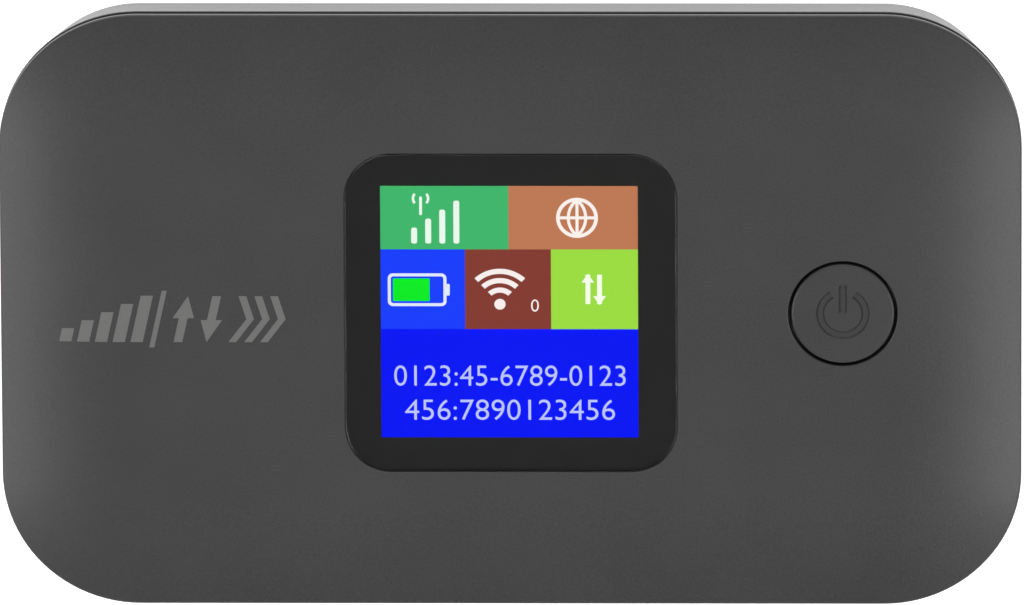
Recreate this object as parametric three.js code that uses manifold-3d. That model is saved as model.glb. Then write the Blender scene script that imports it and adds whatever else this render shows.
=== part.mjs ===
// A pocket mobile hotspot: a flat, round-cornered box with a small colour display and a round power key.
// It lies on its back, display up: +Z leaves the display, +X runs along the long side, and the origin is
// at the centre of the flat back. A screwed front assembly drops into a tapered rear cover, which unclips
// to free the battery and the SIM card. All sizes are millimetres.
import * as THREE from "three";
import { mergeVertices } from "three/addons/utils/BufferGeometryUtils.js";
import Module from "manifold-3d";

const wasm = await Module();
wasm.setup();

// ---- Overall size ----
const bodyWidth = 100;
const bodyHeight = 60.3;
const bodyThickness = 14;
const cornerRadius = 13.5;
const cornerSteps = 8; // chords in each quarter-round corner

// ---- Clearances ----
const fitGap = 0.1; // between pieces that are assembled face to face
const slideGap = 0.3; // around pieces that lift or slide out
const screwGap = 0.15; // around a screw's shank and head

// ---- Front cover ----
const crownWidth = 12.5; // the face starts to fall this far from its edge
const crownDrop = 0.95; // and is this much lower at its edge
const crownSteps = 4;
const edgeRadius = 0.25;
const rimDepth = 1.5; // from the face down to the parting line
const frontWall = 1.5;
const skirtDepth = 2.3; // the skirt reaches this far below the parting line
const skirtWall = 0.9;
const wallShoulder = 2.4; // width of the slope between the face's underside and the skirt

// ---- Rear cover ----
const seamGap = 0.8; // height of the groove between the two covers
const grooveDepth = 0.55; // a step of the rear cover closes the groove this far in
const coverWall = 1.2;
const coverFloor = 1.2;
const draftSlope = Math.tan(THREE.MathUtils.degToRad(11.6)); // the sides lean in towards the back
const backRadius = 2.8; // round between the sides and the flat back
const backSteps = 4;
const lipRadius = 0.2;
const innerChamfer = 1.2; // where the cover's walls meet its floor inside

// ---- Snap noses that hold the rear cover, and the fingernail notch that opens it ----
const noseWidth = 6;
const noseHeight = 1.2;
const noseReach = 0.6; // how far a nose stands out of the cover's wall
const noseZ = 6.2;
const noseSide = 26; // distance of the outer noses from the middle of a long side
const pocketDrop = 1.6; // a pocket runs this far below its nose, so that the taper lets the nose pass
const notchWidth = 12;
const notchDepth = 0.9;
const notchFromCorner = 24;

// ---- Display window and module ----
const windowSize = 32.6;
const windowRadius = 4.6;
const lensGap = 0.12;
const lensSink = 0.05;
const lensThickness = 0.8;
const tapeThickness = 0.15;
const tapeWidth = 1.8;
const apertureWidth = 26.6; // hole under the lens
const apertureHeight = 27.4;
const apertureRadius = 0.8;
const foamThickness = 0.25;
const foamWidth = 1.1;
const moduleWidth = 30.4;
const moduleHeight = 36;
const moduleShift = -1.9; // the module's driver ledge puts its middle below the window's
const glassThickness = 0.9;
const glassLedge = 4.2; // the front glass stops short of the driver ledge
const backlightThickness = 1.1;
const fenceWall = 0.8;
const fenceDepth = 1.2;

// ---- Main board ----
const boardThickness = 1;
const boardGap = 0.5; // between the board's edge and the chassis wall
const rearPartHeight = 1.4; // room for parts under the board

// ---- Chassis ----
const chassisWall = 1;
const skinThickness = 1;
const deckThickness = 0.8;
const bayWall = 0.8;

// ---- Battery ----
const screwStrip = 12.5; // from the left side of the body to the battery
const cardStrip = 29.5; // from the battery to the right side of the body
const topStrip = 6; // from the battery to the upper side of the body
const portStrip = 13; // from the lower side of the body to the battery
const batteryRadius = 2.5;
const padWidth = 1.8;
const padHeight = 1.6;
const padThickness = 0.12;
const contactCount = 3;
const contactPitch = 3;
const contactWidth = 1.1;
const contactThickness = 0.2;
const contactHeight = 1.9;
const contactY = 4;
const batteryConnectorDepth = 4.5;

// ---- Screws ----
const screwShank = 0.8; // radius
const screwHead = 1.5; // radius
const screwHeadHeight = 0.8;
const screwLength = 3.8;
const bossRadius = 2.5;
const bossFloor = 1.2;
const postRadius = 1.8;
const collarRadius = 2.7;
const leftScrewX = 7.4; // from the left side
const leftScrewY = 16; // from the upper and lower sides
const rightScrewX = 8.5; // from the right side
const rightScrewY = 11;
const lowerScrewX = 20; // from the middle
const portRow = 8; // the lower screws and the reset key stand this far from the lower side

// ---- Power key and its switch ----
const keyFromSide = 17.5; // from the right side to the key's axis
const keyRadius = 5.05;
const keyGap = 0.3;
const keyEdge = 0.2;
const flangeReach = 1.1;
const flangeThickness = 0.5;
const nubRadius = 1.5;
const nubHeight = 0.15;
const symbolDepth = 0.15;
const symbolRadius = 2.62;
const symbolStroke = 0.8;
const symbolGapAngle = THREE.MathUtils.degToRad(60);
const symbolBar = 2.9;
const switchSize = 4.5;
const switchHeight = 1.2;
const plungerRadius = 1;
const plungerSunk = 0.7; // length of a plunger inside its switch
const keyTravel = 0.35;

// ---- Reset key and its switch ----
const resetFromSide = 20;
const resetRadius = 1;
const resetFlange = 1.7;
const resetFlangeThickness = 0.6;
const resetSunk = 0.3; // the key's end lies this far inside the skin
const resetCollarHeight = 1.6;
const resetSwitchSize = 3.4;
const resetTravel = 0.3;

// ---- Charging socket ----
const usbWidth = 8.94;
const usbHeight = 3.2;
const usbWall = 0.3;
const usbDepth = 7.3;
const usbRearWall = 0.4;
const usbOpeningGap = 0.35; // around the socket in the chassis
const plugWidth = 12.2; // the rear cover's opening takes the plug's body
const plugHeight = 6;
const tongueWidth = 6.6;
const tongueHeight = 0.7;
const tongueReach = 4.5;
const tongueBlock = 1.9;

// ---- SIM card and its socket ----
const cardWidth = 8.8;
const cardLength = 12.3;
const cardThickness = 0.67;
const cardCorner = 1.65;
const cardRadius = 1;
const socketWidth = 12;
const socketLength = 11;
const socketWall = 0.2;
const socketBase = 0.3;
const simFromSide = 14;
const simBayWidth = 13.2;
const cardRunIn = 0.5; // between the card's inner end and the socket's end

// ---- Shields, pad, antennas, flex and its connector ----
const shieldHeight = 1.5;
const shieldWall = 0.2;
const shieldRadius = 0.6;
const wifiSize = 12;
const powerShieldSize = 22;
const heatPadInset = 3;
const modemChipSize = 12;
const memoryChipWidth = 11;
const memoryChipHeight = 8;
const wifiChipSize = 7;
const powerChipSize = 8;
const chipThickness = 0.9;
const chipGap = 1;
const antennaThickness = 0.3;
const antennaArm = 0.9;
const antennaTooth = 2.2;
const antennaTeeth = 5;
const wifiAntenna = 18;
const flexWidth = 12;
const flexThickness = 0.15;
const flexGap = 1; // beside the flex where it leaves the fence
const connectorWidth = 14;
const connectorDepth = 3.2;
const connectorHeight = 1.2;

// ---- Levels, from the face down ----
const faceTop = bodyThickness;
const faceUnder = faceTop - frontWall;
const seamTop = faceTop - rimDepth;
const lipTop = seamTop - seamGap;
const skirtBottom = seamTop - skirtDepth;
const lensTop = faceTop - lensSink;
const lensUnder = lensTop - lensThickness;
const tapeUnder = lensUnder - tapeThickness;
const glassTop = faceUnder - foamThickness - fitGap / 2;
const glassUnder = glassTop - glassThickness;
const backlightTop = glassUnder - fitGap / 2;
const backlightUnder = backlightTop - backlightThickness;
const boardTop = backlightUnder - fitGap / 2;
const boardUnder = boardTop - boardThickness;
const deckTop = boardUnder - rearPartHeight;
const deckUnder = deckTop - deckThickness;
const batteryTop = deckUnder - slideGap / 2;
const skinUnder = coverFloor + slideGap;
const skinTop = skinUnder + skinThickness;
const chassisTop = skirtBottom - fitGap;
const bossTop = boardUnder - fitGap;
const screwSeat = bossTop - bossFloor;

// ---- Places ----
const right = bodyWidth / 2;
const top = bodyHeight / 2;
const wallAcross = coverWall * Math.hypot(1, draftSlope); // the slanted wall, measured level
const batteryLeft = -right + screwStrip;
const batteryRight = right - cardStrip;
const batteryUpper = top - topStrip;
const batteryLower = -top + portStrip;
const keyX = right - keyFromSide;
const resetX = right - resetFromSide;
const portRowY = -top + portRow;
const usbZ = boardUnder - fitGap - usbHeight / 2;
const simX = right - simFromSide;
const simBayUpper = top - rightScrewY - bossRadius - bayWall - fitGap;
const contactMiddle = (skinUnder + batteryTop) / 2;
const contactPlaces = Array.from(
  { length: contactCount },
  (_, i) => contactY + (i - (contactCount - 1) / 2) * contactPitch,
);
const screwPlaces = [
  [-right + leftScrewX, top - leftScrewY],
  [-right + leftScrewX, -top + leftScrewY],
  [right - rightScrewX, top - rightScrewY],
  [right - rightScrewX, -top + rightScrewY],
  [-lowerScrewX, portRowY],
  [lowerScrewX, portRowY],
];

// How far the side walls stand in from the body's outline at a level.
const coverInset = (z) => (lipTop - z) * draftSlope;
const coverInsideInset = (z) => coverInset(z) + wallAcross;
const chassisInset = (z) => coverInsideInset(z) + slideGap;
const skirtInset = coverInsideInset(skirtBottom) + slideGap;
const cavityInset = skirtInset + skirtWall;
const boardInset = chassisInset(boardUnder) + chassisWall + boardGap;
const usbMouth = -top + chassisInset(usbZ - usbHeight / 2);

// ---- Materials ----
const finish = (color, roughness, metalness = 0) =>
  new THREE.MeshStandardMaterial({ color, roughness, metalness });
const shellGrey = finish(0x4b4b4c, 0.55);
const chassisBlack = finish(0x1b1b1d, 0.6);
const lensBlack = finish(0x121212, 0.08);
const foamBlack = finish(0x161616, 0.95);
const glassDark = finish(0x1f2a3a, 0.1);
const plasticWhite = finish(0xe6e6e2, 0.4);
const flexAmber = finish(0xa8642a, 0.45);
const boardGreen = finish(0x12492f, 0.5);
const shieldSteel = finish(0xb4b6b8, 0.32, 1);
const screwSteel = finish(0x8d8f92, 0.35, 1);
const gold = finish(0xd2a348, 0.3, 1);
const socketBlack = finish(0x0f0f10, 0.45);
const padGrey = finish(0x8f9aa6, 0.9);
const batteryGrey = finish(0x2c2e33, 0.5);
const cardWhite = finish(0xf0f0ee, 0.4);

// ---- Shapes ----

// A rectangle with round corners about the origin, anticlockwise.
function roundedOutline(width, height, radius, steps = cornerSteps) {
  const points = [];
  for (let corner = 0; corner < 4; corner++) {
    const centreX = (corner === 0 || corner === 3 ? 1 : -1) * (width / 2 - radius);
    const centreY = (corner < 2 ? 1 : -1) * (height / 2 - radius);
    for (let i = 0; i <= steps; i++) {
      const angle = ((corner + i / steps) * Math.PI) / 2;
      points.push(new THREE.Vector2(centreX + radius * Math.cos(angle), centreY + radius * Math.sin(angle)));
    }
  }
  return points;
}

// The body's own outline, stepped in by a distance on every side.
const bodyOutline = (inset) =>
  roundedOutline(bodyWidth - 2 * inset, bodyHeight - 2 * inset, cornerRadius - inset);

// A closed solid through body outlines, given from the lowest to the highest.
function loft(levels) {
  const rings = levels.map(({ z, inset }) => ({ z, points: bodyOutline(inset) }));
  const count = rings[0].points.length;
  const positions = rings.flatMap(({ z, points }) => points.flatMap((p) => [p.x, p.y, z]));
  const index = [];
  for (let ring = 0; ring < rings.length - 1; ring++) {
    for (let i = 0; i < count; i++) {
      const a = ring * count + i;
      const b = ring * count + ((i + 1) % count);
      index.push(a, b, b + count, a, b + count, a + count);
    }
  }
  const last = (rings.length - 1) * count;
  THREE.ShapeUtils.triangulateShape(rings[0].points, []).forEach(([a, b, c]) => index.push(a, c, b));
  THREE.ShapeUtils.triangulateShape(rings.at(-1).points, []).forEach(([a, b, c]) =>
    index.push(last + a, last + b, last + c),
  );
  return new THREE.BufferGeometry()
    .setAttribute("position", new THREE.Float32BufferAttribute(positions, 3))
    .setIndex(index);
}

// A flat outline raised from one level to another.
function slab(points, low, high) {
  const shape = new THREE.Shape(points);
  return new THREE.ExtrudeGeometry(shape, { depth: high - low, bevelEnabled: false }).translate(0, 0, low);
}

const roundedSlab = (width, height, radius, low, high, steps = 4) =>
  slab(roundedOutline(width, height, radius, steps), low, high);

function block(left, rightSide, lower, upper, low, high) {
  return new THREE.BoxGeometry(rightSide - left, upper - lower, high - low).translate(
    (left + rightSide) / 2,
    (lower + upper) / 2,
    (low + high) / 2,
  );
}

function rod(x, y, radius, low, high, segments = 20) {
  return new THREE.CylinderGeometry(radius, radius, high - low, segments)
    .rotateX(Math.PI / 2)
    .translate(x, y, (low + high) / 2);
}

// A stadium-ended slot seen along Y, from one Y to another.
function slotAlongY(width, height, nearY, farY, z) {
  const steps = 6;
  return slab(roundedOutline(width, height, height / 2, steps), 0, farY - nearY)
    .rotateX(Math.PI / 2)
    .translate(0, farY, z);
}

// ---- Joining and cutting ----

function solid(geometry) {
  const bare = geometry.clone();
  bare.deleteAttribute("normal");
  bare.deleteAttribute("uv");
  const weld = 1e-5;
  const merged = mergeVertices(bare, weld);
  const corners = Array.from(merged.index.array);
  const kept = [];
  for (let i = 0; i < corners.length; i += 3) {
    const [a, b, c] = corners.slice(i, i + 3);
    if (a !== b && b !== c && c !== a) kept.push(a, b, c);
  }
  return new wasm.Manifold(
    new wasm.Mesh({
      numProp: 3,
      vertProperties: merged.attributes.position.array,
      triVerts: new Uint32Array(kept),
    }),
  );
}

const join = (...geometries) => geometries.map(solid).reduce((whole, next) => whole.add(next));
const cut = (whole, ...tools) => tools.map(solid).reduce((left, tool) => left.subtract(tool), whole);

function geometryOf(manifold) {
  const { numProp, numVert, vertProperties, triVerts } = manifold.getMesh();
  const positions = new Float32Array(numVert * 3);
  for (let i = 0; i < numVert; i++) {
    const from = i * numProp;
    positions.set(vertProperties.subarray(from, from + 3), i * 3);
  }
  return new THREE.BufferGeometry()
    .setAttribute("position", new THREE.BufferAttribute(positions, 3))
    .setIndex(new THREE.BufferAttribute(triVerts, 1));
}

const hotspot = new THREE.Group();
function add(name, made, material) {
  const mesh = new THREE.Mesh(geometryOf(made), material);
  mesh.name = name;
  hotspot.add(mesh);
}

// The noses of the rear cover: where each stands, and which way its wall faces.
const nosePlaces = [
  { x: -noseSide, y: top, wall: "y" },
  { x: 0, y: top, wall: "y" },
  { x: noseSide, y: top, wall: "y" },
  { x: -noseSide, y: -top, wall: "y" },
  { x: noseSide, y: -top, wall: "y" },
  { x: -right, y: 0, wall: "x" },
  { x: right, y: 0, wall: "x" },
];

// A block on a side wall that reaches from one inset to another, along the wall by a width.
function wallBlock(place, width, nearInset, farInset, low, high) {
  const along = width / 2;
  if (place.wall === "y") {
    const side = Math.sign(place.y);
    const edges = [side * (top - nearInset), side * (top - farInset)].sort((a, b) => a - b);
    return block(place.x - along, place.x + along, edges[0], edges[1], low, high);
  }
  const side = Math.sign(place.x);
  const edges = [side * (right - nearInset), side * (right - farInset)].sort((a, b) => a - b);
  return block(edges[0], edges[1], place.y - along, place.y + along, low, high);
}

// ---- Rear cover ----

function rearCover() {
  const lean = Math.atan(draftSlope);
  const centreInset = backRadius * Math.cos(lean) + coverInset(backRadius * (1 - Math.sin(lean)));
  const outside = [];
  for (let i = 0; i <= backSteps; i++) {
    const angle = Math.PI / 2 + (lean - Math.PI / 2) * (i / backSteps);
    outside.push({
      z: backRadius * (1 - Math.sin(angle)),
      inset: centreInset - backRadius * Math.cos(angle),
    });
  }
  outside.push({ z: lipTop - lipRadius, inset: coverInset(lipTop - lipRadius) });
  outside.push({ z: lipTop, inset: lipRadius });
  const above = lipTop + 1;
  const inside = [
    { z: coverFloor, inset: coverInsideInset(coverFloor) + innerChamfer },
    { z: coverFloor + innerChamfer, inset: coverInsideInset(coverFloor + innerChamfer) },
    { z: above, inset: coverInsideInset(above) },
  ];
  const step = [
    { z: lipTop - seamGap, inset: grooveDepth },
    { z: seamTop - fitGap, inset: grooveDepth },
  ];
  let made = cut(join(loft(outside), loft(step)), loft(inside));
  const wallFace = coverInsideInset(noseZ);
  for (const place of nosePlaces) {
    const nose = wallBlock(
      place,
      noseWidth,
      wallFace - coverWall / 2,
      wallFace + noseReach,
      noseZ,
      noseZ + noseHeight,
    );
    made = made.add(solid(nose));
  }
  const mouth = slotAlongY(plugWidth, plugHeight, -top - 1, -top + coverInsideInset(coverFloor), usbZ);
  const notchPlace = { x: right - notchFromCorner, y: -top, wall: "y" };
  const notch = wallBlock(notchPlace, notchWidth, -1, grooveDepth, lipTop - notchDepth, above);
  return cut(made, mouth, notch);
}

// ---- Front cover ----

// The fence that locates the display module, open at its lower side where the flex leaves.
function displayFence() {
  const fence = (reach, radius, low, high) =>
    roundedSlab(moduleWidth + 2 * reach, moduleHeight + 2 * reach, radius, low, high)
      .translate(0, moduleShift, 0);
  return cut(
    solid(fence(fitGap + fenceWall, fenceWall, faceUnder - fenceDepth, faceUnder + fitGap)),
    fence(fitGap, fitGap, 0, faceTop),
    block(-flexWidth / 2 - flexGap, flexWidth / 2 + flexGap, -top, moduleShift, 0, faceTop),
  );
}

function frontCover() {
  const edgeZ = faceTop - crownDrop;
  const outside = [
    { z: seamTop, inset: 0 },
    { z: edgeZ - edgeRadius, inset: 0 },
    { z: edgeZ - edgeRadius * (1 - Math.SQRT1_2), inset: edgeRadius * (1 - Math.SQRT1_2) },
  ];
  for (let i = 0; i <= crownSteps; i++) {
    const inset = edgeRadius + ((crownWidth - edgeRadius) * i) / crownSteps;
    outside.push({ z: faceTop - crownDrop * (1 - inset / crownWidth) ** 2, inset });
  }
  const skirt = [
    { z: skirtBottom, inset: skirtInset },
    { z: seamTop + fitGap, inset: skirtInset },
  ];
  const cavity = [
    { z: skirtBottom - 1, inset: cavityInset },
    { z: faceUnder - crownDrop, inset: cavityInset },
    { z: faceUnder, inset: cavityInset + wallShoulder },
  ];
  let made = cut(join(loft(outside), loft(skirt)), loft(cavity));

  made = made.add(displayFence());
  for (const [x, y] of screwPlaces) {
    const collar = rod(x, y, collarRadius, boardTop + fitGap, faceUnder + fitGap);
    const post = rod(x, y, postRadius, boardUnder, faceUnder);
    made = made.add(join(collar, post));
    made = cut(made, rod(x, y, screwShank + screwGap, 0, screwSeat + screwLength + fitGap));
  }
  return cut(
    made,
    roundedSlab(windowSize, windowSize, windowRadius, tapeUnder, faceTop + 1, cornerSteps),
    roundedSlab(apertureWidth, apertureHeight, apertureRadius, 0, faceTop),
    rod(keyX, 0, keyRadius + keyGap, 0, faceTop + 1, 40),
  );
}

// ---- Chassis ----

function chassis() {
  const outside = [
    { z: skinUnder, inset: chassisInset(skinUnder) + innerChamfer },
    { z: skinUnder + innerChamfer, inset: chassisInset(skinUnder + innerChamfer) },
    { z: chassisTop, inset: chassisInset(chassisTop) },
  ];
  const shell = solid(loft(outside));
  const inside = [
    { z: skinTop, inset: chassisInset(skinTop) + chassisWall + innerChamfer },
    { z: skinTop + innerChamfer, inset: chassisInset(skinTop + innerChamfer) + chassisWall },
    { z: chassisTop + 1, inset: chassisInset(chassisTop + 1) + chassisWall },
  ];
  const bayReach = slideGap + bayWall;
  const bay = block(
    batteryLeft - bayReach,
    batteryRight + bayReach,
    batteryLower - bayReach,
    batteryUpper + bayReach,
    skinUnder,
    deckTop,
  );
  const simReach = simBayWidth / 2 + bayWall;
  const simEnd = simBayUpper + bayWall;
  const simWalls = block(simX - simReach, simX + simReach, -simEnd, simEnd, skinUnder, boardUnder - fitGap);
  let made = cut(shell, loft(inside));
  made = made.add(join(bay, simWalls).intersect(shell));
  for (const [x, y] of screwPlaces) made = made.add(solid(rod(x, y, bossRadius, skinUnder, bossTop)));
  const resetCollar = resetFlange + screwGap + bayWall;
  made = made.add(solid(rod(resetX, portRowY, resetCollar, skinUnder, skinTop + resetCollarHeight)));

  const batteryPocket = block(
    batteryLeft - slideGap,
    batteryRight + slideGap,
    batteryLower - slideGap,
    batteryUpper + slideGap,
    -1,
    deckUnder,
  );
  const simHalf = simBayWidth / 2;
  const simWindow = block(simX - simHalf, simX + simHalf, -simBayUpper, simBayUpper, -1, bodyThickness);
  made = cut(made, batteryPocket, simWindow);
  for (const [x, y] of screwPlaces) {
    const headWell = rod(x, y, screwHead + screwGap, -1, screwSeat);
    made = cut(made, headWell, rod(x, y, screwShank + screwGap, 0, bodyThickness));
  }

  // Openings for the reset key, the charging socket, the battery contacts and the noses of the rear cover.
  made = cut(
    made,
    rod(resetX, portRowY, resetRadius + screwGap, -1, bodyThickness),
    rod(resetX, portRowY, resetFlange + screwGap, skinTop, bodyThickness),
    slotAlongY(
      usbWidth + 2 * usbOpeningGap,
      usbHeight + 2 * usbOpeningGap,
      -top,
      -top + chassisInset(skinTop) + 2 * chassisWall,
      usbZ,
    ),
  );
  const slotHalf = contactWidth / 2 + screwGap;
  const reach = contactHeight / 2 + slideGap;
  for (const y of contactPlaces) {
    const low = contactMiddle - reach;
    const high = contactMiddle + reach;
    const farX = batteryRight + 2 * bayReach;
    made = cut(made, block(batteryRight, farX, y - slotHalf, y + slotHalf, low, high));
  }
  const pocketFace = coverInsideInset(noseZ) + noseReach + fitGap;
  const pocketLow = noseZ - pocketDrop;
  const pocketTop = noseZ + noseHeight + slideGap;
  for (const place of nosePlaces) {
    const pocket = wallBlock(place, noseWidth + 2 * slideGap, 0, pocketFace, pocketLow, pocketTop);
    made = cut(made, pocket);
  }
  return made;
}

// ---- Display ----

// A rectangular band: an outer outline less the same outline stepped in.
function band(width, height, radius, bandWidth, low, high) {
  const inner = Math.max(radius - bandWidth, fitGap);
  return cut(
    solid(roundedSlab(width, height, radius, low, high)),
    roundedSlab(width - 2 * bandWidth, height - 2 * bandWidth, inner, low - 1, high + 1),
  );
}

function displayLens() {
  const size = windowSize - 2 * lensGap;
  return solid(roundedSlab(size, size, windowRadius - lensGap, lensUnder, lensTop, cornerSteps));
}

function lensTape() {
  const size = windowSize - 2 * lensGap - fitGap;
  const air = tapeThickness / 5;
  return band(size, size, windowRadius - lensGap, tapeWidth, tapeUnder + air, lensUnder - air);
}

function displayFoam() {
  const air = foamThickness / 5;
  const width = apertureWidth + 2 * foamWidth;
  const height = apertureHeight + 2 * foamWidth;
  return band(width, height, foamWidth, foamWidth, glassTop + air, faceUnder - air);
}

// The two glass sheets: the rear one carries the driver ledge at the module's lower end.
function displayGlass() {
  const half = glassThickness / 2;
  const lower = moduleShift - moduleHeight / 2;
  const upper = moduleShift + moduleHeight / 2;
  const side = moduleWidth / 2 - fitGap;
  return join(
    block(-side, side, lower + fitGap, upper - fitGap, glassUnder, glassUnder + half),
    block(-side, side, lower + glassLedge, upper - fitGap, glassUnder + half / 2, glassTop),
  );
}

function displayBacklight() {
  return solid(
    roundedSlab(moduleWidth, moduleHeight, shieldRadius, backlightUnder, backlightTop)
      .translate(0, moduleShift, 0),
  );
}

// The flex leaves the driver ledge, turns down past the module's end and runs into its connector.
function displayFlex() {
  const end = moduleShift - moduleHeight / 2;
  const ledgeZ = glassUnder + glassThickness / 2 + fitGap;
  const low = boardTop + connectorHeight / 2;
  const out = end - slideGap;
  const path = [
    [end + glassLedge - 2 * slideGap, ledgeZ],
    [out, ledgeZ],
    [out - (ledgeZ - low), low],
    [out - (ledgeZ - low) - 2 * slideGap, low],
  ];
  const upper = path.map(([y, z]) => new THREE.Vector2(z + flexThickness, y));
  const lower = path.map(([y, z]) => new THREE.Vector2(z, y)).reverse();
  const geometry = slab([...upper, ...lower], -flexWidth / 2, flexWidth / 2);
  // The outline holds z along its first axis and y along its second, so a turn about Y stands it up.
  return solid(geometry.rotateY(-Math.PI / 2));
}

function flexConnector() {
  const end = moduleShift - moduleHeight / 2;
  const fall = glassUnder + glassThickness / 2 + fitGap - (boardTop + connectorHeight / 2);
  const mouth = end - 3 * slideGap - fall - fitGap;
  const half = connectorWidth / 2;
  const high = boardTop + connectorHeight;
  return solid(block(-half, half, mouth - connectorDepth, mouth, boardTop + fitGap / 2, high));
}

// ---- Board and what stands on it ----

function mainBoard() {
  let made = solid(
    loft([
      { z: boardUnder, inset: boardInset },
      { z: boardTop, inset: boardInset },
    ]),
  );
  for (const [x, y] of screwPlaces) made = cut(made, rod(x, y, postRadius + screwGap, 0, bodyThickness));
  return made;
}

// A thin pressed can, open towards the board.
function shieldCan(left, rightSide, lower, upper, low, high, openSide) {
  const place = [(left + rightSide) / 2, (lower + upper) / 2, 0];
  const can = (inset, bottom, lid) => {
    const width = rightSide - left - 2 * inset;
    const height = upper - lower - 2 * inset;
    return roundedSlab(width, height, shieldRadius - inset, bottom, lid, 2).translate(...place);
  };
  const [bottom, lid] = openSide === "down" ? [low - 1, high - shieldWall] : [low + shieldWall, high + 1];
  return cut(solid(can(0, low, high)), can(shieldWall, bottom, lid));
}

const frontPartUnder = boardTop + fitGap / 2;
const rearPartTop = boardUnder - fitGap / 2;
const moduleLeft = -moduleWidth / 2 - fitGap - fenceWall;
const modemLeft = -right + leftScrewX + collarRadius + slideGap;
const modemRight = moduleLeft - 2 * slideGap;
const modemHalf = top - leftScrewY + collarRadius / 2;

function heatPad() {
  const low = frontPartUnder + shieldHeight + fitGap / 2;
  return solid(
    block(
      modemLeft + heatPadInset,
      modemRight - heatPadInset,
      -modemHalf + heatPadInset,
      modemHalf - heatPadInset,
      low,
      faceUnder - fitGap,
    ),
  );
}

// A packaged chip on either face of the board.
function chip(x, y, width, height, low) {
  const base = block(x - width / 2, x + width / 2, y - height / 2, y + height / 2, low, low + chipThickness);
  return solid(base);
}

// A stamped antenna: a strip with teeth, lying on the board.
function antenna(x, y, length, quarterTurns) {
  const pitch = length / antennaTeeth;
  const low = frontPartUnder;
  const strips = [block(-length / 2, length / 2, 0, antennaArm, low, low + antennaThickness)];
  for (let i = 0; i < antennaTeeth; i++) {
    const left = -length / 2 + i * pitch;
    strips.push(block(left, left + pitch / 2, 0, antennaTooth, low, low + antennaThickness));
  }
  return join(...strips.map((strip) => strip.rotateZ(quarterTurns * (Math.PI / 2)).translate(x, y, 0)));
}

// A push switch's case, with the hole that its plunger moves in.
function switchCase(x, y, size, low, high, holeLow, holeHigh) {
  return cut(
    solid(roundedSlab(size, size, shieldRadius, low, high, 2).translate(x, y, 0)),
    rod(x, y, plungerRadius + fitGap, holeLow, holeHigh, 16),
  );
}

// ---- Power key ----

const keyFlangeTop = faceUnder - fitGap;
const keyFlangeUnder = keyFlangeTop - flangeThickness;
const nubUnder = keyFlangeUnder - nubHeight;
const switchTop = frontPartUnder + switchHeight;

function powerKey() {
  const profile = [
    [0, nubUnder],
    [nubRadius, nubUnder],
    [nubRadius, keyFlangeUnder],
    [keyRadius + flangeReach, keyFlangeUnder],
    [keyRadius + flangeReach, keyFlangeTop],
    [keyRadius, keyFlangeTop],
    [keyRadius, faceTop - keyEdge],
    [keyRadius - keyEdge, faceTop],
    [0, faceTop],
  ];
  const turned = new THREE.LatheGeometry(
    profile.map(([r, z]) => new THREE.Vector2(r, z)),
    40,
  ).rotateX(Math.PI / 2);

  // The power sign is a broken ring with a bar through its gap.
  const inner = symbolRadius - symbolStroke;
  const start = Math.PI / 2 + symbolGapAngle / 2;
  const end = Math.PI / 2 - symbolGapAngle / 2 + 2 * Math.PI;
  const steps = 14;
  const arc = (radius, from, to) =>
    Array.from({ length: steps + 1 }, (_, i) => {
      const angle = from + ((to - from) * i) / steps;
      return new THREE.Vector2(radius * Math.cos(angle), radius * Math.sin(angle));
    });
  const outline = [...arc(symbolRadius, start, end), ...arc(inner, end, start)];
  const ring = slab(outline, faceTop - symbolDepth, faceTop + 1);
  const bar = block(-symbolStroke / 2, symbolStroke / 2, 0, symbolBar, faceTop - symbolDepth, faceTop + 1);
  const made = cut(solid(turned), ring, bar);
  return made.translate([keyX, 0, 0]);
}

// ---- Reset key ----

const resetSwitchUnder = rearPartTop - switchHeight;
const resetPlungerUnder = resetSwitchUnder - resetTravel;
const resetKeyTop = resetPlungerUnder - fitGap;

function resetKey() {
  const low = skinUnder + resetSunk;
  const flangeLow = skinTop + fitGap;
  const profile = [
    [0, low],
    [resetRadius, low],
    [resetRadius, flangeLow],
    [resetFlange, flangeLow],
    [resetFlange, flangeLow + resetFlangeThickness],
    [resetRadius, flangeLow + resetFlangeThickness],
    [resetRadius, resetKeyTop],
    [0, resetKeyTop],
  ];
  return solid(
    new THREE.LatheGeometry(
      profile.map(([r, z]) => new THREE.Vector2(r, z)),
      16,
    )
      .rotateX(Math.PI / 2)
      .translate(resetX, portRowY, 0),
  );
}

// ---- Charging socket ----

function usbShell() {
  const rear = usbMouth + usbDepth;
  const innerWidth = usbWidth - 2 * usbWall;
  const innerHeight = usbHeight - 2 * usbWall;
  const inner = slotAlongY(innerWidth, innerHeight, usbMouth - 1, rear - usbRearWall, usbZ);
  return cut(solid(slotAlongY(usbWidth, usbHeight, usbMouth, rear, usbZ)), inner);
}

function usbTongue() {
  const rear = usbMouth + usbDepth - usbRearWall - fitGap;
  const front = rear - tongueBlock;
  const clear = usbWall + fitGap;
  const half = tongueHeight / 2;
  return join(
    slotAlongY(usbWidth - 2 * clear, usbHeight - 2 * clear, front, rear, usbZ),
    block(-tongueWidth / 2, tongueWidth / 2, front - tongueReach, rear - fitGap, usbZ - half, usbZ + half),
  );
}

// ---- SIM card ----

const socketUpper = simBayUpper - slideGap;
const socketLower = socketUpper - socketLength;
const socketUnder = rearPartTop - rearPartHeight + fitGap;
const simBaseUnder = rearPartTop - socketBase;
const cardTop = simBaseUnder - fitGap / 2;
const cardUpper = socketUpper - cardRunIn - socketWall;
const cardLower = cardUpper - cardLength;

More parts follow.
